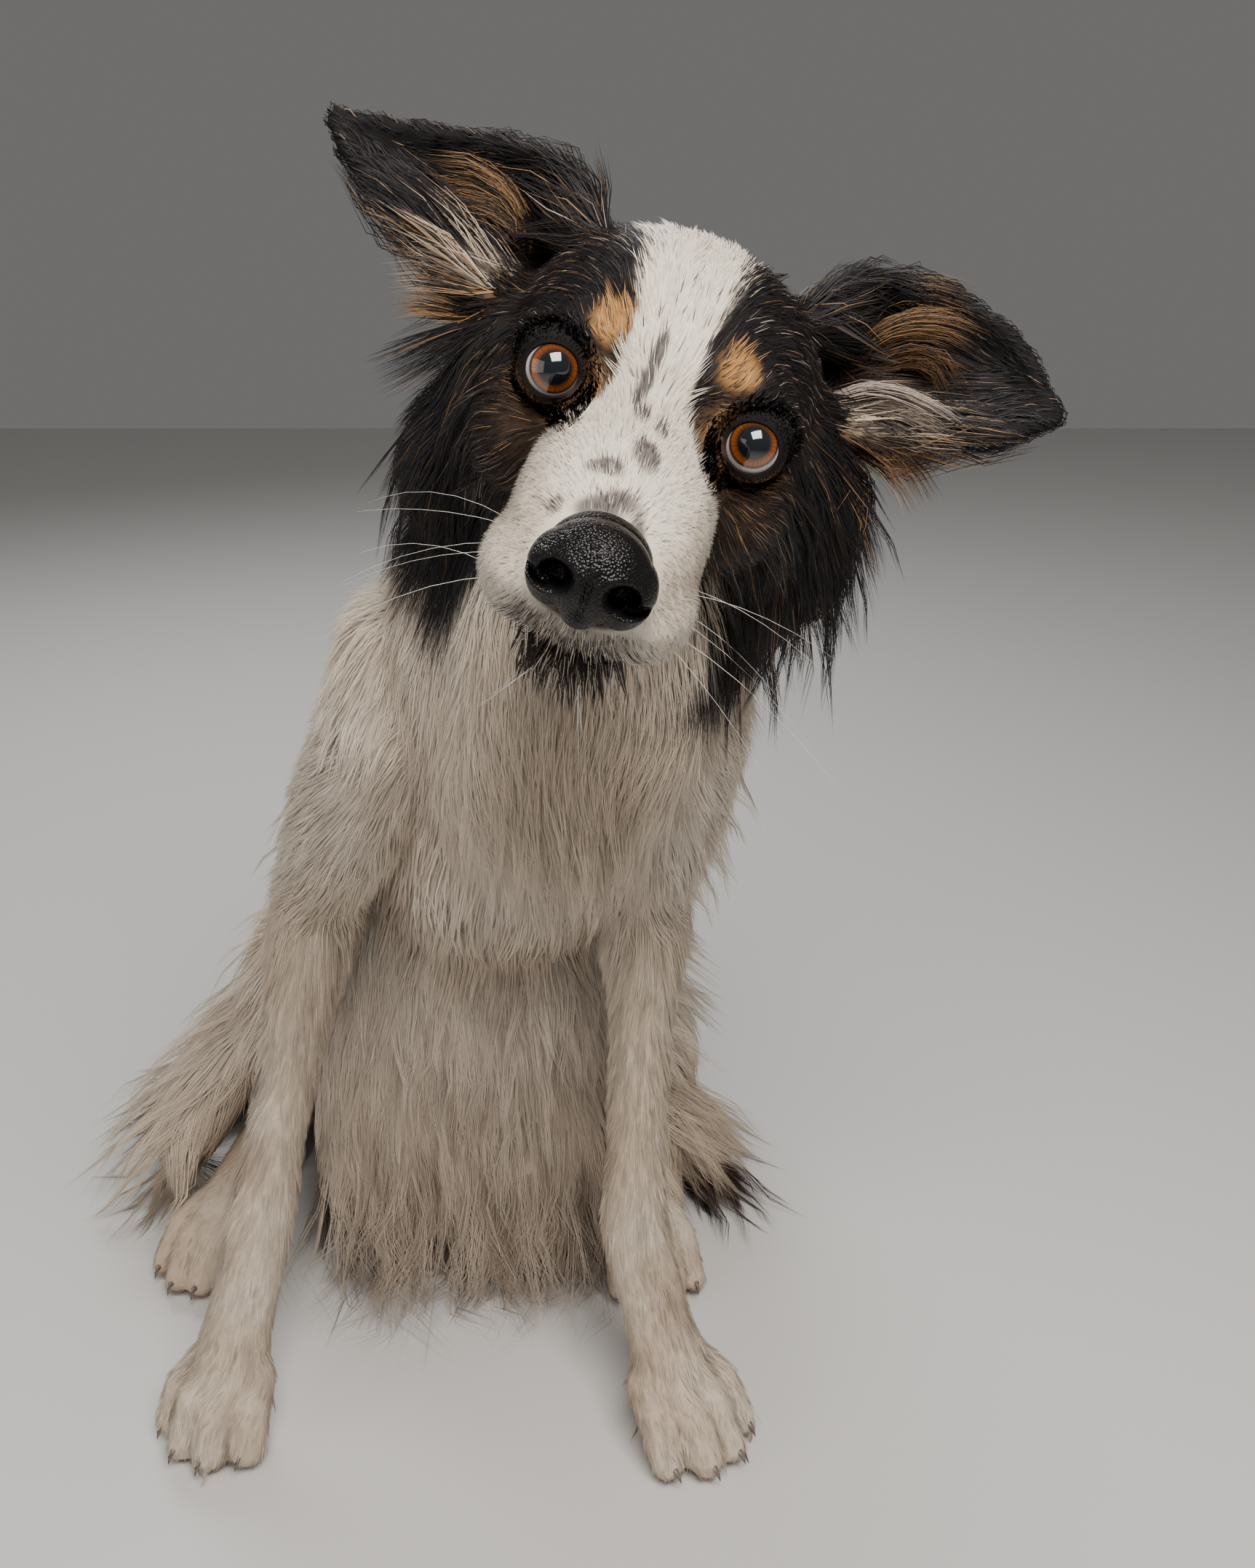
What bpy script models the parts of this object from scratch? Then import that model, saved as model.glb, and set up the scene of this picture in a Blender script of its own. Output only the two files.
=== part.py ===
"""A border collie that sits with its head tilted, at life size, as named solids.

The dog faces -Y, its left side is +X and it sits on the floor at Z = 0. Every solid is the outer
form of the coat. Each one is modelled from tapered limbs, balls and sheets, fused by a voxel
Remesh, smoothed and thinned, and then cut back by the neighbours that it meets.
"""

import math

import bmesh
import bpy
from mathutils import Matrix, Vector

MM = 0.001
GAP = 0.0005  # width of the thin cuts that part the body
CLEARANCE = 0.0009  # clearance around a form that is taken away from its neighbour
RIM_MERGE = 0.0035  # corners of a flat cut that lie closer than this become one
FINE_MERGE = 0.0006  # the same for the face and the toes
FLOOR_DIP = 0.004  # how far a foot is modelled below the floor before it is cut flat

# Head: the point midway between the eyes, and how the head is turned there.
EYES_MIDDLE = Vector((0.088, -0.0685, 0.509))
HEAD_TILT = math.radians(20.5)  # the crown leans towards the dog's left
HEAD_TURN = math.radians(3.0)  # the nose points towards the dog's right
HEAD_LIFT = math.radians(1.5)  # the nose points up
EYE_SPACING = 0.067
EYEBALL_RADIUS = 0.0108

# Joints of the body, in metres. A sitting dog's back slopes from the withers to the rump.
TAIL_ROOT = Vector((-0.030, 0.425, 0.075))
FORELEG = {
    "right": {
        "shoulder": Vector((-0.018, 0.062, 0.365)),
        "elbow": Vector((-0.066, 0.110, 0.262)),
        "wrist": Vector((-0.099, 0.060, 0.104)),
        "knuckles": Vector((-0.114, 0.031, 0.034)),
        "toes": Vector((-0.129, -0.001, 0.010)),
    },
    "left": {
        "shoulder": Vector((0.102, 0.062, 0.360)),
        "elbow": Vector((0.089, 0.110, 0.262)),
        "wrist": Vector((0.083, 0.060, 0.098)),
        "knuckles": Vector((0.101, 0.030, 0.034)),
        "toes": Vector((0.127, -0.003, 0.010)),
    },
}
HINDLEG = {
    "right": {
        "hip": Vector((-0.090, 0.335, 0.120)),
        "knee": Vector((-0.114, 0.205, 0.132)),
        "hock": Vector((-0.122, 0.305, 0.034)),
        "knuckles": Vector((-0.150, 0.165, 0.026)),
        "toes": Vector((-0.163, 0.118, 0.010)),
        "fringe": Vector((-0.232, 0.198, 0.004)),
    },
    "left": {
        "hip": Vector((0.044, 0.335, 0.120)),
        "knee": Vector((0.078, 0.205, 0.120)),
        "hock": Vector((0.080, 0.305, 0.034)),
        "knuckles": Vector((0.090, 0.158, 0.026)),
        "toes": Vector((0.099, 0.107, 0.010)),
        "fringe": Vector((0.118, 0.206, 0.022)),
    },
}
# Where the trunk and the tail are parted: a point of each cut and the side that comes off.
NECK_BASE = (Vector((0.052, 0.064, 0.392)), Vector((0.25, -0.45, 0.86)))
CHEST_END = (Vector((0.006, 0.215, 0.270)), Vector((0.10, -0.72, 0.62)))
LOIN_END = (Vector((-0.014, 0.305, 0.175)), Vector((0.10, -0.55, 0.80)))
TAIL_MIDDLE = (Vector((0.100, 0.316, 0.024)), Vector((0.36, -0.93, 0.00)))
SIDE_SIGN = {"left": 1, "right": -1}

# Ear edges in the head's millimetres, from base to tip, and how deep the ear is cupped there.
EAR_UPPER_EDGE = {
    1: [(40, -60, 46), (52, -64, 62), (78, -62, 67), (108, -56, 60), (133, -50, 40)],
    -1: [(40, -60, 44), (52, -64, 58), (78, -62, 56), (108, -56, 48), (133, -50, 42)],
}
EAR_LOWER_EDGE = [(62, -54, 4), (80, -50, 8), (101, -46, 20), (121, -46, 30), (132, -50, 38)]
EAR_CUP = (24, 3)
EAR_TIP_LIFT = {1: 0, -1: 3}  # the right ear's tip flicks up

# Locks of long hair.
RUFF_LOCKS = 5
RUFF_DROP = 0.064
BELLY_LOCKS = 7

# Triangles of each form before its neighbours are cut away.
TRIANGLES = {
    "torso": 2260,
    "nose": 220,
    "eye": 100,
    "foreleg": 500,
    "hindleg": 340,
    "belly": 370,
    "breeches": 120,
    "tail": 180,
}

COAT_WHITE = (0.86, 0.82, 0.76)
COAT_BLACK = (0.018, 0.016, 0.017)
COAT_BROWN = (0.060, 0.030, 0.018)
NOSE_BLACK = (0.012, 0.011, 0.012)
IRIS_BROWN = (0.150, 0.045, 0.010)


# ---------------------------------------------------------------- frames and materials


def head_axes():
    """The head's left, forward and up directions."""
    turned = Matrix.Rotation(-HEAD_TURN, 3, "Z") @ Matrix.Rotation(-HEAD_LIFT, 3, "X")
    tilted = turned @ Matrix.Rotation(HEAD_TILT, 3, "Y")
    return tilted @ Vector((1, 0, 0)), tilted @ Vector((0, -1, 0)), tilted @ Vector((0, 0, 1))


HEAD_LEFT, HEAD_FORWARD, HEAD_UP = head_axes()


def in_head(left, forward, up):
    """A point given in millimetres from midway between the eyes."""
    step = left * HEAD_LEFT + forward * HEAD_FORWARD + up * HEAD_UP
    return EYES_MIDDLE + step * MM


def clear_scene():
    for obj in list(bpy.data.objects):
        bpy.data.objects.remove(obj)


def make_material(name, colour, roughness):
    material = bpy.data.materials.new(name)
    material.use_nodes = True
    shader = material.node_tree.nodes["Principled BSDF"]
    shader.inputs["Base Color"].default_value = (*colour, 1.0)
    shader.inputs["Roughness"].default_value = roughness
    shader.inputs["Metallic"].default_value = 0.0
    return material


# ---------------------------------------------------------------- basic forms


def add_limb(bm, stations, side=Vector((1, 0, 0)), sides=14):
    """A closed tube with round ends. Each station is (centre, side radius, depth radius)."""
    centres = [Vector(centre) for centre, _, _ in stations]
    rings = []
    for i, (centre, wide, deep) in enumerate(stations):
        along = (centres[min(i + 1, len(centres) - 1)] - centres[max(i - 1, 0)]).normalized()
        across = (side - side.dot(along) * along).normalized()
        rings.append((centres[i], along, across, along.cross(across), wide, deep))

    def end_cap(ring, outwards):
        centre, along, across, depth, wide, deep = ring
        reach = min(wide, deep) * outwards
        return [
            (centre + along * reach * share, along, across, depth, wide * size, deep * size)
            for share, size in ((0.5, 0.866), (0.87, 0.49))
        ]

    rings = end_cap(rings[0], -1)[::-1] + rings + end_cap(rings[-1], 1)
    loops = []
    for centre, _, across, depth, wide, deep in rings:
        loops.append(
            [
                bm.verts.new(
                    centre
                    + across * wide * math.cos(2 * math.pi * k / sides)
                    + depth * deep * math.sin(2 * math.pi * k / sides)
                )
                for k in range(sides)
            ]
        )
    for lower, upper in zip(loops, loops[1:]):
        for k in range(sides):
            n = (k + 1) % sides
            bm.faces.new((lower[k], lower[n], upper[n], upper[k]))
    bm.faces.new(loops[0][::-1])
    bm.faces.new(loops[-1])


def add_ball(bm, centre, radii, axes=None):
    """An ellipsoid whose radii lie along axes, which are the world's unless they are given."""
    turn = Matrix(axes).transposed().to_4x4() if axes else Matrix.Identity(4)
    place = Matrix.Translation(centre) @ turn @ Matrix.Diagonal((*radii, 1.0))
    bmesh.ops.create_uvsphere(bm, u_segments=24, v_segments=14, radius=1.0, matrix=place)


def add_head_ball(bm, left, forward, up, radii):
    """An ellipsoid in the head's own frame, in millimetres."""
    sizes = [radius * MM for radius in radii]
    add_ball(bm, in_head(left, forward, up), sizes, (HEAD_LEFT, -HEAD_FORWARD, HEAD_UP))


def add_head_limb(bm, stations):
    """A limb in the head's own frame: each station is (left, forward, up, wide, deep) in mm."""
    placed = [(in_head(x, f, u), wide * MM, deep * MM) for x, f, u, wide, deep in stations]
    add_limb(bm, placed, side=HEAD_LEFT, sides=18)


def add_sheet(bm, point, thickness, rows=12, columns=9):
    """A closed sheet over point(u, v), u and v from 0 to 1, thick(u, v) metres across."""
    grid = [[Vector(point(i / rows, j / columns)) for j in range(columns + 1)] for i in range(rows + 1)]
    faces_out = []
    for side in (0.5, -0.5):
        layer = []
        for i, row in enumerate(grid):
            line = []
            for j, place in enumerate(row):
                du = grid[min(i + 1, rows)][j] - grid[max(i - 1, 0)][j]
                dv = row[min(j + 1, columns)] - row[max(j - 1, 0)]
                normal = du.cross(dv)
                normal = normal.normalized() if normal.length > 1e-9 else HEAD_FORWARD
                line.append(bm.verts.new(place + normal * thickness(i / rows, j / columns) * side))
            layer.append(line)
        faces_out.append(layer)
    top, bottom = faces_out
    for i in range(rows):
        for j in range(columns):
            bm.faces.new((top[i][j], top[i + 1][j], top[i + 1][j + 1], top[i][j + 1]))
            bm.faces.new((bottom[i][j], bottom[i][j + 1], bottom[i + 1][j + 1], bottom[i + 1][j]))
    rim = [(i, 0) for i in range(rows)] + [(rows, j) for j in range(columns)]
    rim += [(i, columns) for i in range(rows, 0, -1)] + [(0, j) for j in range(columns, 0, -1)]
    for (i, j), (m, n) in zip(rim, rim[1:] + rim[:1]):
        bm.faces.new((top[i][j], top[m][n], bottom[m][n], bottom[i][j]))


# ---------------------------------------------------------------- solids from forms


def apply_modifiers(obj):
    """Keeps what the modifiers make as the object's own mesh."""
    graph = bpy.context.evaluated_depsgraph_get()
    made = bpy.data.meshes.new_from_object(obj.evaluated_get(graph))
    obj.modifiers.clear()
    obj.data = made


def islands_of(bm):
    """The separate bodies of a mesh, each as a set of faces joined across edges, largest first."""
    left = set(bm.faces)
    islands = []
    while left:
        start = left.pop()
        island = {start}
        front = [start]
        while front:
            for edge in front.pop().edges:
                for face in edge.link_faces:
                    if face in left:
                        left.discard(face)
                        island.add(face)
                        front.append(face)
        islands.append(island)
    return sorted(islands, key=len, reverse=True)


def keep_largest_island(obj):
    bm = bmesh.new()
    bm.from_mesh(obj.data)
    for scrap in islands_of(bm)[1:]:
        bmesh.ops.delete(bm, geom=list(scrap), context="FACES")
    bm.to_mesh(obj.data)
    bm.free()


def link_object(name, mesh):
    obj = bpy.data.objects.new(name, mesh)
    bpy.context.scene.collection.objects.link(obj)
    return obj


def make_whole(name, fill, triangles, voxel=0.004, smoothing=4):
    """Fuses what fill(bm) adds into one smooth closed form of about that many triangles."""
    bm = bmesh.new()
    fill(bm)
    bmesh.ops.recalc_face_normals(bm, faces=bm.faces)
    mesh = bpy.data.meshes.new(name)
    bm.to_mesh(mesh)
    bm.free()
    obj = link_object(name, mesh)
    remesh = obj.modifiers.new("fuse", "REMESH")
    remesh.mode = "VOXEL"
    remesh.voxel_size = voxel
    smooth = obj.modifiers.new("soften", "SMOOTH")
    smooth.factor = 0.6
    smooth.iterations = smoothing
    apply_modifiers(obj)
    keep_largest_island(obj)
    thin = obj.modifiers.new("thin", "DECIMATE")
    thin.ratio = min(1.0, triangles / (2 * len(obj.data.polygons)))
    apply_modifiers(obj)
    return obj


def grown_copy(obj):
    """A cutter in the shape of a solid, larger by the clearance all round."""
    mesh = obj.data.copy()
    normals = [vert.normal.copy() for vert in mesh.vertices]
    for vert, normal in zip(mesh.vertices, normals):
        vert.co += normal * CLEARANCE
    copy = link_object(obj.name + "_cutter", mesh)
    copy.hide_render = True
    copy.display_type = "WIRE"
    return copy


def cut_away(obj, *cutters):
    """Takes each cutter away, with clearance around it, and keeps the largest body left."""
    for cutter in cutters:
        helper = grown_copy(cutter)
        boolean = obj.modifiers.new("cut", "BOOLEAN")
        boolean.operation = "DIFFERENCE"
        boolean.solver = "EXACT"
        boolean.object = helper
        apply_modifiers(obj)
        bpy.data.objects.remove(helper)
        keep_largest_island(obj)


def trim(obj, point, normal, merge=FINE_MERGE):
    """Removes what lies on the side that normal points to, and closes the flat cut."""
    bm = bmesh.new()
    bm.from_mesh(obj.data)
    everything = bm.verts[:] + bm.edges[:] + bm.faces[:]
    bmesh.ops.bisect_plane(
        bm, geom=everything, dist=1e-6, plane_co=point, plane_no=normal, clear_outer=True
    )
    rim_verts = [vert for vert in bm.verts if vert.is_boundary]
    bmesh.ops.remove_doubles(bm, verts=rim_verts, dist=merge)
    rim = [edge for edge in bm.edges if edge.is_boundary]
    bmesh.ops.triangle_fill(bm, use_beauty=True, use_dissolve=False, edges=rim, normal=normal)
    bmesh.ops.recalc_face_normals(bm, faces=bm.faces)
    bm.to_mesh(obj.data)
    bm.free()
    keep_largest_island(obj)


def part_off(obj, name, point, normal, merge=FINE_MERGE):
    """Splits a form with a thin flat cut. The new solid is on the side that normal points to."""
    normal = normal.normalized()
    piece = link_object(name, obj.data.copy())
    trim(obj, point - normal * GAP / 2, normal, merge)
    trim(piece, point + normal * GAP / 2, -normal, merge)
    return piece


def finish_node(obj, name, material):
    obj.name = name
    obj.data.name = name
    obj.data.materials.clear()
    obj.data.materials.append(material)
    trim(obj, Vector((0, 0, 0)), Vector((0, 0, -1)))


# ---------------------------------------------------------------- the head


def add_cranium(bm):
    add_head_ball(bm, 0, -52, 5, (56, 66, 50))  # brain case
    add_head_ball(bm, 0, -22, 8, (40, 40, 30))  # forehead
    for sign in (1, -1):
        add_head_ball(bm, sign * 25, -7, 14, (15, 15, 12))  # brow
        add_head_ball(bm, sign * 38, -14, 4, (13, 17, 13))  # outer rim of the eye socket
        add_head_ball(bm, sign * 37, -28, -24, (24, 34, 27))  # cheek bone
        add_head_ball(bm, sign * 50, -62, -14, (28, 34, 44))  # cheek hair under the ear
        add_head_ball(bm, sign * 62, -72, -48, (28, 34, 40))  # its hanging ends
        add_head_ball(bm, sign * 46, -64, 40, (23, 20, 22))  # hair behind the ear's root
    root = in_head(62, -66, -14)
    swing = root + Vector((0, 0, -0.035))
    tip = root + Vector((-0.008, -0.004, -0.075))
    add_limb(bm, [(root, 0.026, 0.022), (swing, 0.018, 0.018), (tip, 0.008, 0.008)])  # it hangs free
    add_head_ball(bm, 0, -60, -34, (50, 46, 36))  # throat
    add_head_ball(bm, 0, -14, -28, (30, 34, 26))  # root of the muzzle


def add_muzzle(bm):
    add_head_limb(
        bm,
        [
            (0, -10, -17, 34, 28),
            (0, 18, -23, 31, 28),
            (0, 46, -29, 31.5, 27.5),
            (0, 66, -35, 29.5, 25),
            (0, 75, -39, 25, 21.5),
        ],
    )
    for sign in (1, -1):
        add_head_ball(bm, sign * 16.5, 55, -46, (18, 33, 17.5))  # upper lip
    add_head_ball(bm, 0, 70, -49, (18, 18, 13))  # front of the upper lip
    add_head_limb(
        bm,
        [(0, -28, -54, 31, 16), (0, 20, -61, 24, 13), (0, 52, -64, 20, 11), (0, 73, -65, 15, 9.5)],
    )  # lower jaw


def fill_nose(bm):
    add_head_ball(bm, 0, 96, -32.5, (15.5, 12.5, 13.5))
    for sign in (1, -1):
        add_head_ball(bm, sign * 9.5, 95, -35, (8.4, 10.5, 10.5))  # wing of the nostril
    add_head_ball(bm, 0, 94, -43.5, (6, 9, 5.5))  # philtrum


def ear_surface(sign):
    """The ear's sheet as point(u, v): u from base to tip, v from the lower to the upper edge."""
    upper = EAR_UPPER_EDGE[sign]
    lower = EAR_LOWER_EDGE

    def on_edge(edge, u):
        place = u * (len(edge) - 1)
        i = min(int(place), len(edge) - 2)
        return Vector(edge[i]).lerp(Vector(edge[i + 1]), place - i)

    def point(u, v):
        flat = on_edge(lower, u).lerp(on_edge(upper, u), v)
        droop = EAR_TIP_LIFT[sign] * u * u
        cup = (EAR_CUP[0] + (EAR_CUP[1] - EAR_CUP[0]) * u) * 4 * v * (1 - v)
        return in_head(sign * flat.x, flat.y - cup, flat.z + droop)

    return point


def add_ear(bm, sign):
    add_sheet(bm, ear_surface(sign), lambda u, v: 0.012 - 0.005 * u)
    add_head_limb(
        bm,
        [(sign * 58, -56, 2, 14, 10), (sign * 82, -50, -4, 13, 10), (sign * 99, -47, 3, 7, 6)],
    )  # long hair of the lower edge


# ---------------------------------------------------------------- neck and trunk


def add_neck(bm):
    add_limb(
        bm,
        [
            (in_head(0, -84, -30), 0.074, 0.062),
            (Vector((0.070, 0.038, 0.440)), 0.086, 0.078),
            (Vector((0.057, 0.062, 0.400)), 0.090, 0.088),
            (Vector((0.046, 0.086, 0.360)), 0.087, 0.092),
        ],
        sides=20,
    )
    add_limb(
        bm,
        [
            (in_head(0, -88, -22), 0.058, 0.048),
            (Vector((0.072, 0.066, 0.448)), 0.064, 0.060),
            (Vector((0.054, 0.118, 0.420)), 0.068, 0.066),
            (Vector((0.036, 0.168, 0.376)), 0.070, 0.066),
        ],
    )  # mane, from the nape over the withers
    add_ball(bm, (0.066, -0.008, 0.405), (0.062, 0.046, 0.060))  # ruff under the chin


def add_barrel(bm):
    add_limb(
        bm,
        [
            (Vector((0.044, 0.092, 0.370)), 0.082, 0.092),
            (Vector((0.030, 0.130, 0.330)), 0.088, 0.110),
            (Vector((0.014, 0.185, 0.290)), 0.090, 0.116),
            (Vector((0.000, 0.245, 0.240)), 0.088, 0.112),
            (Vector((-0.012, 0.300, 0.185)), 0.086, 0.104),
            (Vector((-0.022, 0.345, 0.130)), 0.088, 0.094),
            (Vector((-0.026, 0.368, 0.080)), 0.086, 0.080),
            (Vector((-0.026, 0.372, 0.045)), 0.080, 0.066),
        ],
        sides=20,
    )
    add_ball(bm, (0.050, 0.030, 0.345), (0.058, 0.040, 0.050))  # ruff over the breast bone
    for i in range(RUFF_LOCKS):
        share = 2 * i / (RUFF_LOCKS - 1) - 1
        drop = RUFF_DROP * (1 - 0.55 * abs(share))
        root = Vector((0.052 + 0.040 * share, 0.016 + 0.018 * share * share, 0.352))
        tip = root + Vector((-0.006 * share, 0.014, -drop))
        add_limb(bm, [(root, 0.017, 0.015), (root.lerp(tip, 0.6), 0.013, 0.011), (tip, 0.004, 0.004)])


def fill_torso(bm):
    add_cranium(bm)
    add_muzzle(bm)
    for sign in SIDE_SIGN.values():
        add_ear(bm, sign)
    add_neck(bm)
    add_barrel(bm)


def fill_belly(bm):
    """Long hair that hangs from the belly to the floor between the legs."""
    add_limb(
        bm,
        [
            (Vector((0.016, 0.160, 0.240)), 0.066, 0.044),
            (Vector((0.004, 0.162, 0.150)), 0.078, 0.044),
            (Vector((-0.010, 0.160, 0.060)), 0.076, 0.042),
            (Vector((-0.014, 0.158, -0.020)), 0.076, 0.040),
        ],
        sides=20,
    )
    for i in range(BELLY_LOCKS):
        share = 2 * i / (BELLY_LOCKS - 1) - 1
        bow = 0.020 * share * share
        wave = 0.006 * math.sin(2.4 * i)
        top = Vector((0.018 + 0.040 * share, 0.122 + bow, 0.225))
        middle = Vector((-0.004 + 0.068 * share, 0.116 + bow + wave, 0.110))
        hem = Vector((-0.017 + 0.082 * share, 0.106 + bow + wave, -0.012))
        add_limb(bm, [(top, 0.016, 0.020), (middle, 0.018, 0.018), (hem, 0.013, 0.013)], sides=10)


# ---------------------------------------------------------------- legs and tail


def add_paw(bm, leg, ankle, ankle_width, foot_width, toe_radius):
    """Four toes in an arc, the pads under them and the pastern above them."""
    forward = (leg["toes"] - leg["knuckles"]).normalized()
    level = Vector((forward.x, forward.y, 0)).normalized()
    across = Vector((-level.y, level.x, 0))
    knuckles, toes = leg["knuckles"], leg["toes"]
    add_limb(
        bm,
        [
            (ankle.lerp(knuckles, 0.10), ankle_width, ankle_width),
            (ankle.lerp(knuckles, 0.60), ankle_width * 1.02, ankle_width * 0.92),
            (knuckles.lerp(toes, 0.10), foot_width * 0.36, 0.0175),
        ],
        side=across,
    )
    for place, reach in ((-1.0, -0.006), (-0.34, 0.004), (0.34, 0.004), (1.0, -0.006)):
        offset = across * place * foot_width * 0.36
        tip = toes + offset * 1.12 + level * (reach - toe_radius)
        bend = knuckles.lerp(toes, 0.45) + offset + level * reach
        add_limb(
            bm,
            [
                (knuckles + offset * 0.75 - level * 0.004, toe_radius * 0.92, toe_radius * 1.05),
                (bend + Vector((0, 0, 0.004)), toe_radius, toe_radius * 1.1),
                (tip - Vector((0, 0, FLOOR_DIP)), toe_radius * 0.92, toe_radius * 0.9),
            ],
            side=across,
            sides=10,
        )
    pad = knuckles.lerp(toes, 0.25)
    add_ball(bm, (pad.x, pad.y, 0.008), (foot_width * 0.38, 0.020, 0.014))


def foreleg_filler(leg):
    def fill(bm):
        shoulder, elbow, wrist = leg["shoulder"], leg["elbow"], leg["wrist"]
        add_limb(
            bm,
            [
                (shoulder + Vector((0, 0.004, 0.028)), 0.030, 0.040),
                (shoulder, 0.036, 0.044),
                (elbow.lerp(shoulder, 0.40), 0.034, 0.043),
                (elbow, 0.0265, 0.036),
                (elbow.lerp(wrist, 0.18), 0.0205, 0.028),
                (elbow.lerp(wrist, 0.42), 0.0172, 0.0225),
                (elbow.lerp(wrist, 0.78), 0.0160, 0.0180),
                (wrist, 0.0190, 0.0182),
                (wrist.lerp(leg["knuckles"], 0.35), 0.0178, 0.0172),
            ],
        )
        add_ball(bm, elbow + Vector((0, 0.026, -0.010)), (0.018, 0.022, 0.034))  # elbow feathering
        add_paw(bm, leg, wrist, 0.0178, 0.058, 0.0100)

    return fill


def hindleg_filler(leg):
    def fill(bm):
        hip, knee, hock = leg["hip"], leg["knee"], leg["hock"]
        outwards = Vector((math.copysign(1, leg["toes"].x), 0, 0))
        add_limb(
            bm,
            [
                (hip + Vector((0, 0.016, -0.020)), 0.044, 0.084),
                (hip.lerp(knee, 0.45) + Vector((0, 0, 0.006)), 0.046, 0.084),
                (knee + Vector((0, 0.006, 0.010)), 0.034, 0.056),
            ],
        )
        add_limb(
            bm,
            [
                (knee + Vector((0, 0.010, -0.006)), 0.034, 0.046),
                (knee.lerp(hock, 0.4) + outwards * 0.012, 0.036, 0.050),
                (hock + outwards * 0.010, 0.036, 0.044),
            ],
        )  # lower leg, folded under the thigh
        add_limb(
            bm,
            [
                (knee + Vector((0, 0.052, 0.004)) - outwards * 0.008, 0.054, 0.034),
                (knee.lerp(leg["fringe"], 0.45) + Vector((0, 0.030, -0.004)), 0.048, 0.030),
                (leg["fringe"].lerp(knee, 0.22) + Vector((0, 0.002, -0.014)), 0.044, 0.019),
                (leg["fringe"], 0.024, 0.008),
            ],
            side=Vector((0, 1, 0)),
        )  # long hair behind the thigh, spread on the floor
        add_paw(bm, leg, hock, 0.0200, 0.052, 0.0094)

    return fill


def fill_breeches(bm):
    """Dark hair of the rump that spreads on the floor at the dog's right."""
    add_limb(
        bm,
        [
            (Vector((-0.060, 0.405, 0.050)), 0.044, 0.040),
            (Vector((-0.120, 0.385, 0.030)), 0.034, 0.044),
            (Vector((-0.178, 0.330, 0.015)), 0.021, 0.044),
            (Vector((-0.222, 0.266, 0.006)), 0.012, 0.032),
            (Vector((-0.256, 0.236, 0.003)), 0.008, 0.014),
        ],
        side=Vector((0, 0, 1)),
    )


def fill_tail(bm):
    add_limb(
        bm,
        [
            (TAIL_ROOT, 0.036, 0.034),
            (TAIL_ROOT + Vector((0.045, 0.022, -0.044)), 0.036, 0.038),
            (Vector((0.066, 0.398, 0.026)), 0.030, 0.040),
            (Vector((0.098, 0.328, 0.021)), 0.025, 0.034),
            (Vector((0.110, 0.262, 0.016)), 0.018, 0.028),
            (Vector((0.132, 0.204, 0.008)), 0.012, 0.030),
            (Vector((0.166, 0.160, 0.002)), 0.007, 0.022),
        ],
        side=Vector((0, 0, 1)),
    )


# ---------------------------------------------------------------- assembly


def eye_filler(sign):
    def fill(bm):
        add_head_ball(bm, sign * EYE_SPACING / 2 / MM, -2, 0, (EYEBALL_RADIUS / MM,) * 3)

    return fill


def part_leg(leg, side, joint, names):
    """Parts a leg where its joints are, from the top down, and returns the pieces in that order."""
    pieces = [leg]
    for name, (point, normal) in zip(names, joint):
        pieces.append(part_off(pieces[-1], f"{name}_{side}", point, normal))
    return pieces


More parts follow.
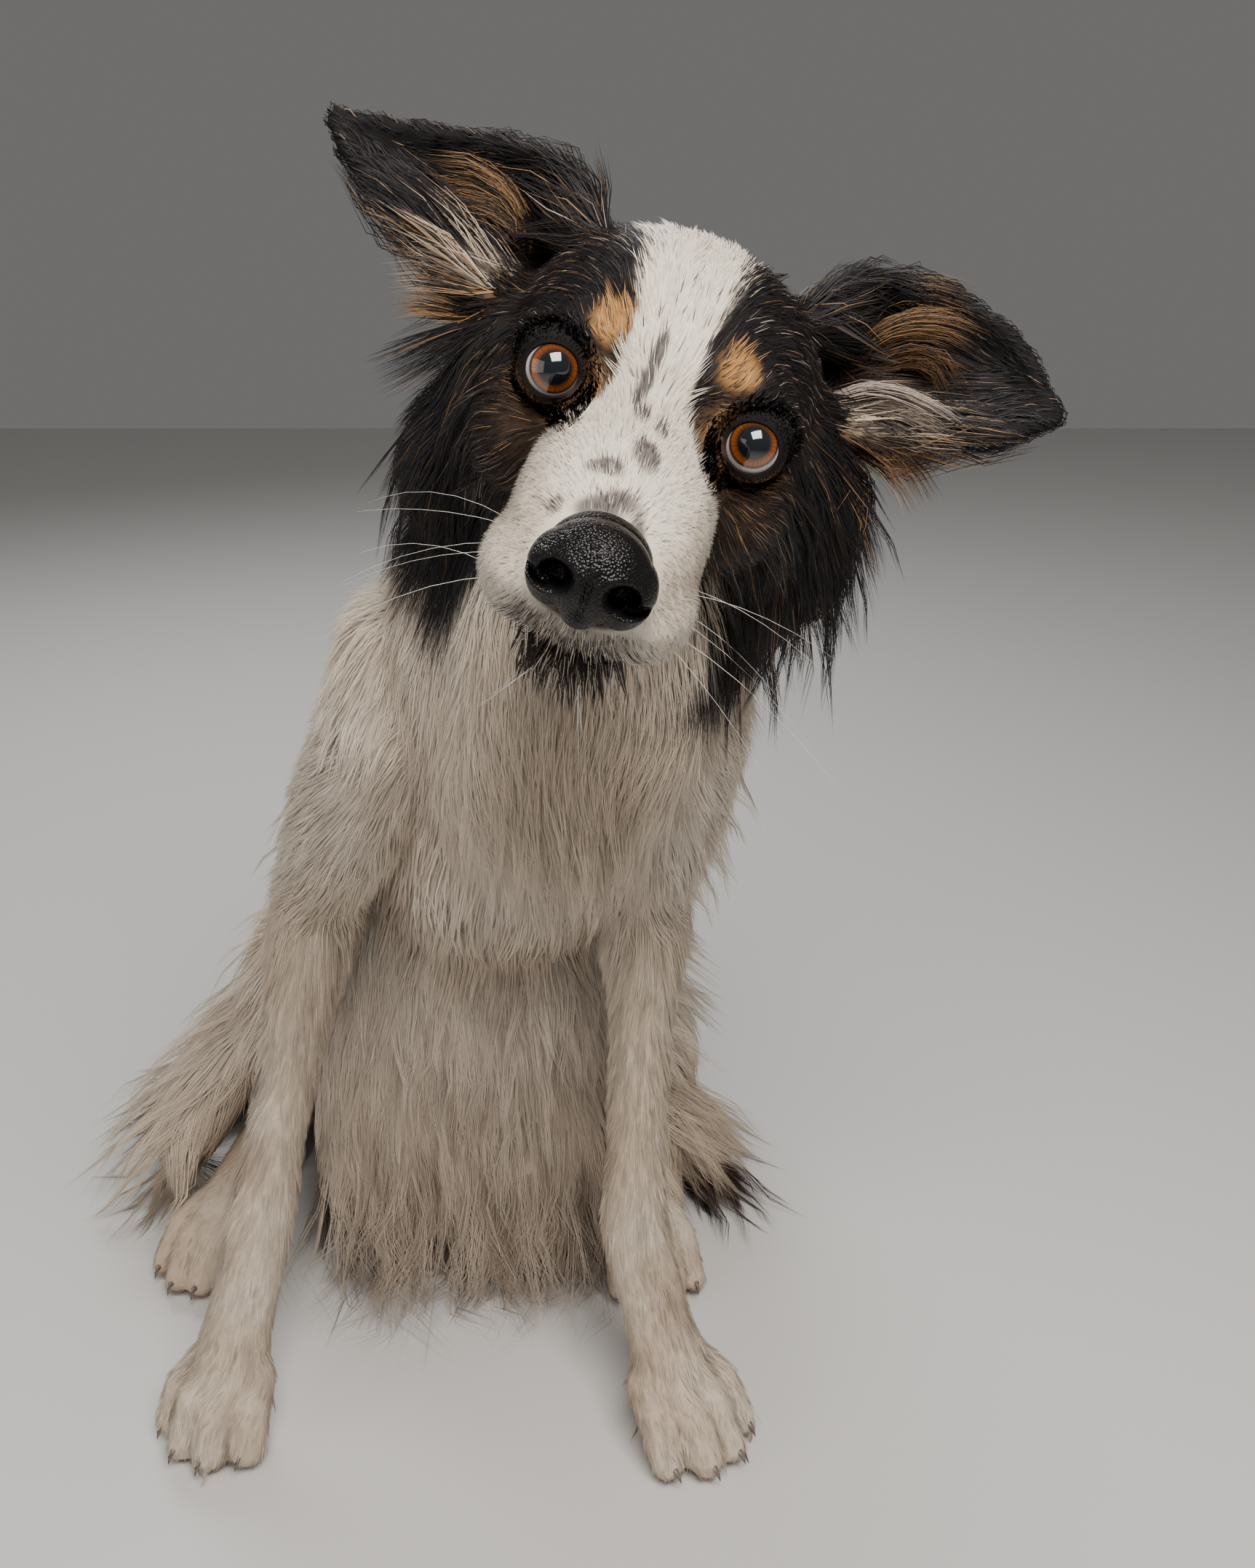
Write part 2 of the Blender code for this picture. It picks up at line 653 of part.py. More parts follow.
def make_dog():
    white = make_material("white_coat", COAT_WHITE, 0.75)
    black = make_material("black_coat", COAT_BLACK, 0.65)
    brown = make_material("brown_coat", COAT_BROWN, 0.70)
    leather = make_material("nose_leather", NOSE_BLACK, 0.35)
    iris = make_material("eye", IRIS_BROWN, 0.05)

    torso = make_whole("torso", fill_torso, TRIANGLES["torso"], 0.0035)
    nose = make_whole("nose", fill_nose, TRIANGLES["nose"], 0.002, 3)
    eyes = {
        side: make_whole(f"eye_{side}", eye_filler(sign), TRIANGLES["eye"], 0.0015, 2)
        for side, sign in SIDE_SIGN.items()
    }
    forelegs, hindlegs = {}, {}
    for side in SIDE_SIGN:
        forelegs[side] = make_whole("foreleg", foreleg_filler(FORELEG[side]), TRIANGLES["foreleg"], 0.003, 3)
        hindlegs[side] = make_whole("hindleg", hindleg_filler(HINDLEG[side]), TRIANGLES["hindleg"], 0.003, 3)
    belly = make_whole("belly", fill_belly, TRIANGLES["belly"], 0.006)
    breeches = make_whole("breeches", fill_breeches, TRIANGLES["breeches"], 0.004, 3)
    tail = make_whole("tail", fill_tail, TRIANGLES["tail"], 0.004, 3)

    cut_away(belly, torso, *forelegs.values(), *hindlegs.values())
    cut_away(tail, torso, breeches, *hindlegs.values())
    cut_away(breeches, torso, *hindlegs.values())
    for side in SIDE_SIGN:
        cut_away(hindlegs[side], torso)
    cut_away(torso, nose, *eyes.values(), *forelegs.values())

    nodes = [(nose, "nose", leather), (belly, "belly", white), (breeches, "breeches", brown)]
    nodes += [(eyes[side], f"eye_{side}", iris) for side in SIDE_SIGN]
    for side, sign in SIDE_SIGN.items():
        outwards = HEAD_LEFT * sign * 0.87 + HEAD_UP * 0.49
        ear = part_off(torso, f"ear_{side}", in_head(sign * 50, -60, 26), outwards)
        nodes.append((ear, f"ear_{side}", black))
    head = part_off(torso, "head", in_head(0, -70, -28), HEAD_FORWARD * 0.69 + HEAD_UP * 0.72)
    muzzle = part_off(head, "muzzle", in_head(0, 14, 0), HEAD_FORWARD)
    jaw = part_off(muzzle, "lower_jaw", in_head(0, 60, -60), -HEAD_UP)
    neck = part_off(torso, "neck", *NECK_BASE)
    chest = part_off(torso, "chest", *CHEST_END, RIM_MERGE)
    loin = part_off(torso, "loin", *LOIN_END, RIM_MERGE)
    tail_tip = part_off(tail, "tail_plume", *TAIL_MIDDLE)
    nodes += [(head, "head", black), (muzzle, "muzzle", white), (jaw, "lower_jaw", white)]
    nodes += [(neck, "neck", white), (chest, "chest", white), (loin, "loin", black)]
    nodes += [(torso, "rump", black), (tail, "tail_root", brown), (tail_tip, "tail_plume", brown)]

    down = Vector((0, 0, -1))
    for side in SIDE_SIGN:
        fore, hind = FORELEG[side], HINDLEG[side]
        below_elbow = fore["elbow"].lerp(fore["wrist"], 0.14)
        below_wrist = fore["wrist"].lerp(fore["knuckles"], 0.12)
        names = ("upper_arm", "forearm", "forepaw")
        cuts = ((below_elbow, down), (below_wrist, down))
        pieces = part_leg(forelegs[side], side, cuts, names[1:])
        nodes += [(piece, f"{name}_{side}", white) for piece, name in zip(pieces, names)]
        ankle = hind["knuckles"].lerp(hind["hock"], 0.06)
        names = ("thigh", "hindpaw")
        pieces = part_leg(hindlegs[side], side, ((ankle, Vector((0, -0.90, -0.44))),), names[1:])
        nodes += [(piece, f"{name}_{side}", white) for piece, name in zip(pieces, names)]
    for obj, name, material in nodes:
        finish_node(obj, name, material)


def centre_on_floor():
    """Moves the dog so that the origin is under the middle of its box, at floor level."""
    solids = [obj for obj in bpy.context.scene.objects if obj.type == "MESH"]
    corners = [vert.co for obj in solids for vert in obj.data.vertices]
    middle = [(min(c[i] for c in corners) + max(c[i] for c in corners)) / 2 for i in (0, 1)]
    for obj in solids:
        obj.data.transform(Matrix.Translation((-middle[0], -middle[1], 0)))
        obj.data.shade_smooth()


def main():
    clear_scene()
    make_dog()
    centre_on_floor()


main()
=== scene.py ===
import math
from collections import namedtuple

import bmesh
import bpy
import numpy as np
from mathutils import Matrix, Vector
from mathutils.bvhtree import BVHTree
from mathutils.kdtree import KDTree


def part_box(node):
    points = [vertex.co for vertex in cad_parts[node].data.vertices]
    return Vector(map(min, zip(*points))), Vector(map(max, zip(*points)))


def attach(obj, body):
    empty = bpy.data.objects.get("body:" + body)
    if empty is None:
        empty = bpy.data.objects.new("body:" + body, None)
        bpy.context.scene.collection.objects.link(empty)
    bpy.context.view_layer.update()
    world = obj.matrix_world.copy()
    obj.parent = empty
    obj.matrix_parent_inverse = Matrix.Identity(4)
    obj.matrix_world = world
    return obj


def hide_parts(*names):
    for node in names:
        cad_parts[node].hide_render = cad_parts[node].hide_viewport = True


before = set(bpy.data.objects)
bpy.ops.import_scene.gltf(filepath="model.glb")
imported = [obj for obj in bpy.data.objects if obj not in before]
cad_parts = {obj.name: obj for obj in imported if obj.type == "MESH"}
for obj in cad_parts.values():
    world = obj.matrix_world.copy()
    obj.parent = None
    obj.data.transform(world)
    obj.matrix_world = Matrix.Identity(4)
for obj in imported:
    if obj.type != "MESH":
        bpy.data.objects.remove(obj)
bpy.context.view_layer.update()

SEED = 20
RNG = np.random.default_rng(SEED)
MM = 0.001
THIN = 1

# ------------------------------------------------------------------ frames
# The body is laid out with the forepaws' toes at the origin, then moved by SHIFT to the row frame.
EYES = Vector((0.088, -0.0685, 0.509))
TURN = Matrix.Rotation(math.radians(-3), 3, "Z") @ Matrix.Rotation(math.radians(-1.5), 3, "X")
AXES = TURN @ Matrix.Rotation(math.radians(20.5), 3, "Y")
LEFT, FRONT, UP = (AXES @ Vector(v) for v in ((1, 0, 0), (0, -1, 0), (0, 0, 1)))
# The same four as numpy rows.
nL, nF, nU, nE = (np.array(v) for v in (LEFT, FRONT, UP, EYES))
# In the head's millimetres: how far out the eyes are, their radius, and the height of the nose's middle.
EYE_AT = 33.5
EYE_R = 10.8
NOSE_AT = -34
FULL_TURN = 6.2832
REAR = np.array((0.0, 1.0, 0.0))
DOWN = np.array((0.0, 0.0, -1.0))
# Coat close to the floor stays this far above it, in metres.
FLOOR_GAP = 0.0008
# A piece of coat is split before it reaches this many triangles.
PIECE_LIMIT = 190000


def head(x, f, u):
    """The place that is x left, f forward and u up from between the eyes, in millimetres."""
    return EYES + (x * LEFT + f * FRONT + u * UP) * MM


def lift(z):
    return Vector((0, 0, z))


def heads(p):
    """World points as millimetres in the head's own frame."""
    d = (np.asarray(p) - nE) / MM
    return d @ nL, d @ nF, d @ nU


def from_head(x, f, u):
    """The places that head gives, for arrays of millimetres."""
    return nE + (np.multiply.outer(x, nL) + np.multiply.outer(f, nF) + np.multiply.outer(u, nU)) * MM


boxes = [[np.array(c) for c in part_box(f"eye_{s}")] for s in ("left", "right")]
SHIFT = (boxes[0][0] + boxes[0][1] + boxes[1][0] + boxes[1][1]) / 4 - (nE - 2 * MM * nF)
SHIFT[2] = 0.0


def smooth(a, b, x):
    t = np.clip((np.asarray(x, float) - a) / (b - a), 0, 1)
    return t * t * (3 - 2 * t)


def unit(v):
    return v / np.maximum(np.linalg.norm(v, axis=-1, keepdims=True), 1e-9)


def phases(count):
    return RNG.uniform(0, 6.28, count)


WAVES = RNG.normal(size=(10, 3)), phases(10)


def col(v):
    """One value for each point as a column, to multiply vectors with."""
    return np.asarray(v, float)[:, None]


def waves(p, size, k=0):
    """Smooth noise of about that size in metres, from -1 to 1."""
    turn = np.roll(WAVES[0], k, axis=1) * (1 + 0.13 * k)
    q = np.asarray(p) @ turn.T / size + WAVES[1] * (k + 1)
    return np.sin(q).sum(-1) / 4.5


def drift(p, size, k):
    """Smooth noise in all three directions."""
    return np.stack([waves(p, size, k + i) for i in range(3)], 1)


def egg(point, centre, radii):
    """The distance from an ellipsoid's centre, where its surface is 1."""
    return np.sqrt(sum(((q - c) / r) ** 2 for q, c, r in zip(point, centre, radii)))


# ------------------------------------------------------------------ the body without its coat
# Where the legs' joints and the tips of the haunches' feathering are, on its right and its left.
SHOULDER = {"r": (-0.018, 0.062, 0.365), "l": (0.102, 0.062, 0.360)}
ELBOW = {"r": (-0.066, 0.110, 0.262), "l": (0.089, 0.110, 0.262)}
WRIST = {"r": (-0.099, 0.060, 0.104), "l": (0.083, 0.060, 0.098)}
KNUCKLE = {"r": (-0.114, 0.031, 0.034), "l": (0.101, 0.030, 0.034)}
TOE = {"r": (-0.129, -0.001, 0.010), "l": (0.127, -0.003, 0.010)}
HIP = {"r": (-0.090, 0.335, 0.120), "l": (0.044, 0.335, 0.120)}
KNEE = {"r": (-0.114, 0.205, 0.132), "l": (0.078, 0.205, 0.120)}
HOCK = {"r": (-0.122, 0.305, 0.034), "l": (0.080, 0.305, 0.034)}
KNUCKLE_H = {"r": (-0.150, 0.165, 0.026), "l": (0.090, 0.158, 0.026)}
TOE_H = {"r": (-0.163, 0.118, 0.010), "l": (0.099, 0.107, 0.010)}
FRINGE = {"r": (-0.232, 0.198, 0.004), "l": (0.118, 0.206, 0.022)}
for table in (SHOULDER, ELBOW, WRIST, KNUCKLE, TOE, HIP, KNEE, HOCK, KNUCKLE_H, TOE_H, FRINGE):
    for s in table:
        table[s] = Vector(table[s])

# Balls of the head are (label, coat depth in mm, centre, radii), in the head's millimetres. Limbs are
# (label, depth, stations, side), with stations (centre, wide, deep) of the coated form in metres.
BALLS = []
LIMBS = []


def ball(label, depth, x, f, u, *radii):
    BALLS.append((label, depth, (x, f, u), radii))


def limb(label, depth, stations, side=(1, 0, 0)):
    LIMBS.append((label, depth, [(Vector(c), w, d) for c, w, d in stations], Vector(side)))


def head_limb(label, depth, *rows):
    """A limb in the head's middle plane, by rows of (forward, up, wide, deep) in millimetres."""
    limb(label, depth, [(head(0, f, u), w * MM, d * MM) for f, u, w, d in rows], LEFT)


def lay_out_body():
    ball("skull", 4, 0, -52, 5, 56, 66, 50)
    ball("skull", 3, 0, -22, 8, 40, 40, 30)
    for g in (1, -1):
        ball("skull", 2, g * 25, -7, 14, 15, 15, 12)
        ball("skull", 2, g * 38, -14, 4, 13, 17, 13)
        ball("cheek", 7, g * 37, -30, -23, 24, 34, 27)
        ball("hang", 11, g * 50, -62, -14, 28, 34, 44)
        ball("hang", 14, g * 62, -72, -48, 28, 34, 40)
        ball("hang", 11, g * 46, -64, 40, 23, 20, 22)
        ball("muzzle", 2, g * 16.5, 55, -46, 18, 33, 17.5)
    ball("muzzle", 2, 0, 70, -49, 18, 18, 13)
    ball("throat", 12, 0, -60, -34, 50, 46, 36)
    ball("cheek", 3, 0, -14, -28, 30, 34, 26)
    head_limb("muzzle", 2, (-10, -17, 34, 28), (18, -23, 31, 28), (46, -29, 31.5, 27.5),
              (66, -35, 29.5, 25), (75, -39, 25, 21.5))
    head_limb("jaw", 3, (-28, -54, 31, 16), (20, -61, 24, 13), (52, -63.5, 19, 10.5), (67, -64.5, 14, 9))
    root = head(62, -66, -14)
    limb("hang", 7, [(root, 0.026, 0.022), (root + lift(-0.035), 0.018, 0.018)])
    limb("neck", 19, [(head(0, -84, -30), 0.074, 0.062), ((0.070, 0.038, 0.440), 0.086, 0.078),
         ((0.057, 0.062, 0.400), 0.090, 0.088), ((0.046, 0.086, 0.360), 0.087, 0.092)])
    limb("mane", 17, [(head(0, -88, -22), 0.058, 0.048), ((0.072, 0.066, 0.448), 0.064, 0.060),
         ((0.054, 0.118, 0.420), 0.068, 0.066), ((0.036, 0.168, 0.376), 0.070, 0.066)])
    limb("ruff", 19, [((0.068, -0.006, 0.430), 0.060, 0.044), ((0.063, 0.002, 0.385), 0.061, 0.046),
         ((0.053, 0.022, 0.345), 0.060, 0.044), ((0.050, 0.036, 0.318), 0.050, 0.036)])
    limb("barrel", 15, [((0.044, 0.092, 0.370), 0.082, 0.092), ((0.030, 0.130, 0.330), 0.088, 0.110),
         ((0.014, 0.185, 0.290), 0.090, 0.116), ((0.000, 0.245, 0.240), 0.088, 0.112),
         ((-0.012, 0.300, 0.185), 0.086, 0.104), ((-0.022, 0.345, 0.130), 0.088, 0.094),
         ((-0.026, 0.368, 0.080), 0.086, 0.080), ((-0.026, 0.372, 0.045), 0.080, 0.066)])
    limb("belly", 13, [((0.008, 0.162, 0.250), 0.086, 0.044), ((-0.004, 0.160, 0.150), 0.094, 0.044),
         ((-0.012, 0.160, 0.075), 0.092, 0.038), ((-0.015, 0.156, 0.040), 0.088, 0.030)])
    for s, g in (("l", 1), ("r", -1)):
        out = Vector((g, 0, 0))
        a, e, w, k, t = SHOULDER[s], ELBOW[s], WRIST[s], KNUCKLE[s], TOE[s]
        limb("arm_" + s, 9, [(a + Vector((0, 0.004, 0.028)), 0.030, 0.040), (a, 0.036, 0.044),
             (e.lerp(a, 0.4), 0.034, 0.043), (e, 0.0265, 0.036)])
        limb("fore_" + s, 3, [(e, 0.0225, 0.031), (e.lerp(w, 0.18), 0.0205, 0.028),
             (e.lerp(w, 0.42), 0.0172, 0.0225), (e.lerp(w, 0.78), 0.0160, 0.0180), (w, 0.0190, 0.0182),
             (w.lerp(k, 0.35), 0.0178, 0.0172)])
        paw("pawf_" + s, w, k, t, 0.0178, 0.058, 0.0100)
        h, n, o, k, t, r = HIP[s], KNEE[s], HOCK[s], KNUCKLE_H[s], TOE_H[s], FRINGE[s]
        limb("thigh_" + s, 13, [(h + Vector((0, 0.016, -0.020)), 0.044, 0.084),
             (h.lerp(n, 0.45) + lift(0.006), 0.046, 0.084),
             (n + Vector((0, 0.006, 0.010)), 0.034, 0.056)])
        limb("shank_" + s, 9, [(n + Vector((0, 0.010, -0.006)), 0.034, 0.046),
             (n.lerp(o, 0.4) + out * 0.012, 0.036, 0.050), (o + out * 0.010, 0.036, 0.044)])
        limb("fringe_" + s, 11, [(n + Vector((0, 0.052, 0.004)) - out * 0.008, 0.054, 0.034),
             (n.lerp(r, 0.45) + Vector((0, 0.030, -0.004)), 0.048, 0.030),
             (r.lerp(n, 0.42) + Vector((0, 0.010, -0.012)), 0.046, 0.024)], (0, 1, 0))
        paw("pawh_" + s, o, k, t, 0.0200, 0.052, 0.0094)
    limb("breech", 14, [((-0.060, 0.405, 0.050), 0.044, 0.040), ((-0.120, 0.385, 0.032), 0.034, 0.044),
         ((-0.178, 0.330, 0.018), 0.024, 0.044), ((-0.216, 0.276, 0.012), 0.019, 0.030)], (0, 0, 1))
    limb("tail", 13, [((-0.030, 0.425, 0.075), 0.036, 0.034), ((0.015, 0.447, 0.031), 0.036, 0.038),
         ((0.066, 0.398, 0.026), 0.030, 0.040), ((0.098, 0.328, 0.021), 0.025, 0.034),
         ((0.110, 0.262, 0.018), 0.019, 0.028), ((0.128, 0.216, 0.014), 0.017, 0.022)], (0, 0, 1))


CLAWS = []


def paw(label, ankle, knuckle, toe, ankle_wide, foot_wide, toe_r):
    ahead = (toe - knuckle).normalized()
    level = Vector((ahead.x, ahead.y, 0)).normalized()
    across = Vector((-level.y, level.x, 0))
    limb(label, 2, [(ankle.lerp(knuckle, 0.10), ankle_wide, ankle_wide),
         (ankle.lerp(knuckle, 0.60), ankle_wide * 1.02, ankle_wide * 0.92),
         (knuckle.lerp(toe, 0.10), foot_wide * 0.36, 0.0175)], across)
    for place, reach in ((-1.0, -0.006), (-0.34, 0.004), (0.34, 0.004), (1.0, -0.006)):
        offset = across * place * foot_wide * 0.36
        tip = toe + offset * 1.12 + level * (reach - toe_r)
        bend = knuckle.lerp(toe, 0.45) + offset + level * reach
        limb(label, 1.2, [(knuckle + offset * 0.80 - level * 0.004, toe_r * 0.80, toe_r * 1.05),
             (bend + lift(0.005), toe_r * 0.86, toe_r * 1.15),
             (tip - lift(0.001), toe_r * 0.84, toe_r * 0.95)], across)
        CLAWS.append((tip + level * toe_r * 0.62, level))
    pad = knuckle.lerp(toe, 0.25)
    limb(label, 1, [(Vector((pad.x, pad.y, 0.010)) - level * 0.008, foot_wide * 0.36, 0.012),
         (Vector((pad.x, pad.y, 0.010)) + level * 0.008, foot_wide * 0.36, 0.012)], across)


EAR_UPPER = {1: [(40, -60, 46), (52, -64, 62), (78, -62, 67), (108, -56, 60), (133, -50, 40)],
             -1: [(40, -60, 44), (52, -64, 58), (78, -62, 56), (108, -56, 48), (133, -50, 42)]}
EAR_LOWER = [(62, -54, 4), (80, -50, 8), (101, -46, 20), (121, -46, 30), (132, -50, 38)]
EAR_LIFT = {1: 0, -1: 3}


def along(edge, t):
    place = t * (len(edge) - 1)
    i = min(int(place), len(edge) - 2)
    return Vector(edge[i]).lerp(Vector(edge[i + 1]), place - i)


def ear_point(g, t, v):
    flat = along(EAR_LOWER, t).lerp(along(EAR_UPPER[g], t), v)
    cup = (24 - 21 * t) * 4 * v * (1 - v)
    return head(g * flat.x, flat.y - cup, flat.z + EAR_LIFT[g] * t * t)


def bridge(loops):
    """The quads between each closed loop and the next."""
    return [(a[i], a[(i + 1) % len(a)], b[(i + 1) % len(a)], b[i])
            for a, b in zip(loops, loops[1:]) for i in range(len(a))]


def add_tube(bm, stations, side, sides=18):
    centres = [c for c, _, _ in stations]
    rings = []
    for i, (c, w, d) in enumerate(stations):
        a = (centres[min(i + 1, len(centres) - 1)] - centres[max(i - 1, 0)]).normalized()
        x = (side - side.dot(a) * a).normalized()
        rings.append((c, a, x, a.cross(x), w, d))

    def cap(ring, sense):
        c, a, x, y, w, d = ring
        out = a * min(w, d) * sense
        return [(c + out * k, a, x, y, w * m, d * m) for k, m in ((0.5, 0.866), (0.87, 0.49))]

    rings = cap(rings[0], -1)[::-1] + rings + cap(rings[-1], 1)
    turns = [FULL_TURN * k / sides for k in range(sides)]
    loops = [[bm.verts.new(c + x * w * math.cos(t) + y * d * math.sin(t)) for t in turns]
             for c, _, x, y, w, d in rings]
    for quad in bridge(loops):
        bm.faces.new(quad)
    bm.faces.new(loops[0][::-1])
    bm.faces.new(loops[-1])


def add_ear(bm, g, rows=22, columns=14):
    grid = [[ear_point(g, i / rows, j / columns) for j in range(columns + 1)] for i in range(rows + 1)]
    sheets = []
    for sense in (0.5, -0.5):
        sheet = []
        for i, row in enumerate(grid):
            line = []
            for j, p in enumerate(row):
                du = grid[min(i + 1, rows)][j] - grid[max(i - 1, 0)][j]
                dv = row[min(j + 1, columns)] - row[max(j - 1, 0)]
                n = du.cross(dv)
                n = n.normalized() if n.length > 1e-9 else FRONT
                line.append(bm.verts.new(p + n * (0.0070 - 0.0018 * i / rows) * sense))
            sheet.append(line)
        sheets.append(sheet)
    a, b = sheets
    for i in range(rows):
        for j in range(columns):
            bm.faces.new((a[i][j], a[i + 1][j], a[i + 1][j + 1], a[i][j + 1]))
            bm.faces.new((b[i][j], b[i][j + 1], b[i + 1][j + 1], b[i + 1][j]))
    rim = [(i, 0) for i in range(rows)] + [(rows, j) for j in range(columns)]
    rim += [(i, columns) for i in range(rows, 0, -1)] + [(0, j) for j in range(columns, 0, -1)]
    for (i, j), (m, n) in zip(rim, rim[1:] + rim[:1]):
        bm.faces.new((a[i][j], a[m][n], b[m][n], b[i][j]))


def fused(bm, voxel, rounds):
    """The shapes in bm as the mesh of one closed, softened surface."""
    bmesh.ops.recalc_face_normals(bm, faces=bm.faces)
    mesh = bpy.data.meshes.new("forms")
    bm.to_mesh(mesh)
    bm.free()
    obj = bpy.data.objects.new("forms", mesh)
    bpy.context.scene.collection.objects.link(obj)
    m = obj.modifiers.new("fuse", "REMESH")
    m.mode = "VOXEL"
    m.voxel_size = voxel
    m = obj.modifiers.new("soften", "SMOOTH")
    m.factor = 0.6
    m.iterations = rounds
    made = bpy.data.meshes.new_from_object(obj.evaluated_get(bpy.context.evaluated_depsgraph_get()))
    bpy.data.objects.remove(obj)
    bpy.data.meshes.remove(mesh)
    return made


def add_ball(bm, x, f, u, radii):
    """An ellipsoid that lies along the head's axes, in its millimetres."""
    turn = Matrix((LEFT, -FRONT, UP)).transposed().to_4x4()
    place = Matrix.Translation(head(x, f, u)) @ turn @ Matrix.Diagonal((*(r * MM for r in radii), 1))
    bmesh.ops.create_uvsphere(bm, u_segments=32, v_segments=20, radius=1, matrix=place)


def base_mesh():
    bm = bmesh.new()
    for _, depth, at, radii in BALLS:
        add_ball(bm, *at, [r - depth for r in radii])
    for _, depth, stations, side in LIMBS:
        thin = [(c, max(w - depth * MM, 0.004), max(d - depth * MM, 0.004)) for c, w, d in stations]
        add_tube(bm, thin, side)
    for g in (1, -1):
        add_ear(bm, g)
    return fused(bm, 0.0030, 4)


def refine_head(mesh):
    """Divides the faces of the head, and again those of the face, for lids, lips and folds."""
    bm = bmesh.new()
    bm.from_mesh(mesh)
    for back, wide, low, high in ((-45, 64, -78, 60), (-14, 46, -74, 26)):
        bm.verts.ensure_lookup_table()
        x, f, u = heads(np.array([v.co for v in bm.verts]))
        near = (f > back) & (f < 130) & (np.abs(x) < wide) & (u > low) & (u < high)
        edges = [e for e in bm.edges if near[e.verts[0].index] and near[e.verts[1].index]]
        bmesh.ops.subdivide_edges(bm, edges=edges, cuts=1, use_grid_fill=True, smooth=0.4)
    bmesh.ops.triangulate(bm, faces=[f for f in bm.faces if len(f.verts) > 4])
    bm.to_mesh(mesh)
    bm.free()


# ------------------------------------------------------------------ labels and an unwrap by label
LABELS = []


def label_points(p):
    """For each point: its nearest part's label, the way along it, and three measures.

    The measures are the share of the part's length, the share of the ear's height, and the distance
    over the part in millimetres.
    """
    best = np.full(len(p), 1e9)
    which = np.zeros(len(p), int)
    way = np.zeros((len(p), 3))
    share = np.zeros(len(p))
    rise = np.zeros(len(p))

    def offer(dist, label, direction, part):
        if label not in LABELS:
            LABELS.append(label)
        closer = dist < best
        best[closer] = dist[closer]
        which[closer] = LABELS.index(label)
        way[closer] = direction
        share[closer] = part[closer]

    x, f, u = heads(p)
    for label, depth, (a, b, c), radii in BALLS:
        r = np.array(radii) - depth
        k = egg((x, f, u), (a, b, c), r)
        offer((k - 1) * min(r) * MM, label, -nF, np.clip(0.5 - (f - b) / radii[1] / 2, 0, 1))
    for label, depth, stations, side in LIMBS:
        total = sum((b[0] - a[0]).length for a, b in zip(stations, stations[1:]))
        done = 0.0
        for (ca, wa, da), (cb, wb, db) in zip(stations, stations[1:]):
            a, v = np.array(ca), np.array(cb - ca)
            t = np.clip(((p - a) @ v) / (v @ v), 0, 1)
            off = p - a - t[:, None] * v
            v1 = v / np.linalg.norm(v)
            sx = np.array(side) - (np.array(side) @ v1) * v1
            sx /= np.linalg.norm(sx)
            w = wa + (wb - wa) * t - depth * MM
            d = da + (db - da) * t - depth * MM
            w, d = np.maximum(w, 0.004), np.maximum(d, 0.004)
            across = off @ sx
            rest = np.sqrt(np.maximum((off**2).sum(1) - across**2, 0))
            k = np.sqrt((across / w) ** 2 + (rest / d) ** 2)
            length = np.linalg.norm(v)
            offer((k - 1) * np.minimum(w, d), label, v1, (done + t * length) / total)
            done += length
    for g, name in ((1, "ear_l"), (-1, "ear_r")):
        spots = np.array([ear_point(g, i / 24, j / 16) for i in range(25) for j in range(17)])
        shares = np.repeat(np.arange(25) / 24, 17)
        rises = np.tile(np.arange(17) / 16, 25)
        tree = KDTree(len(spots))
        for i, s in enumerate(spots):
            tree.insert(s, i)
        tree.balance()
        close = np.where((g * x > 30) & (u > -15) & (f < -20) & (f > -110))[0]
        dist, part = np.full(len(p), 1e9), np.zeros(len(p))
        for i in close:
            _, k, d = tree.find(p[i])
            dist[i] = d - 0.0045
            part[i] = shares[k]
            rise[i] = rises[k] if dist[i] < best[i] else rise[i]
        offer(dist, name, unit(g * nL + 0.1 * nU), part)
    return which, way, np.stack([share, rise, np.maximum(best, 0) / MM], 1)


def kinds_of(which):
    """The kind of coat of each point, which is its label without the side."""
    return np.array([s.split("_")[0] for s in LABELS])[which]


def chart_uv(p, which):
    """An unwrap of the skin: each part is unrolled round its own axis into its own cell."""
    cells = math.ceil(math.sqrt(len(LABELS)))
    uv = np.zeros((len(p), 2))
    for i, label in enumerate(LABELS):
        here = which == i
        if not here.any():
            continue
        q = p[here]
        limbs = [s for name, _, s, _ in LIMBS if name == label]
        if label.startswith("ear"):
            x, f, u = heads(q)
            a = (np.abs(x) - 30) / 110 * 0.5
            front = f > -58 - 0.12 * np.abs(x - 85)
            a = np.clip(a, 0, 0.49) + np.where(front, 0.5, 0)
            b = (u + 15) / 95
        elif limbs and label != "muzzle":
            s = max(limbs, key=lambda v: (v[-1][0] - v[0][0]).length)
            o, e = np.array(s[0][0]), np.array(s[-1][0])
            v = unit(e - o)
            n1 = unit(np.cross(v, (0.3, 0.9, 0.3)))
            n2 = np.cross(v, n1)
            d = q - (o + e) / 2
            a = np.arctan2(d @ n1, d @ n2) / FULL_TURN + 0.5
            b = d @ v
            b = (b - b.min()) / (np.ptp(b) + 1e-6)
        else:
            x, f, u = heads(q)
            a = np.arctan2(x, u + (26 if label == "muzzle" else 15)) / FULL_TURN + 0.5
            b = (f - f.min()) / (np.ptp(f) + 1e-6)
        uv[here, 0] = (i % cells + 0.03 + 0.94 * np.clip(a, 0, 1)) / cells
        uv[here, 1] = (i // cells + 0.03 + 0.94 * np.clip(b, 0, 1)) / cells
    return uv


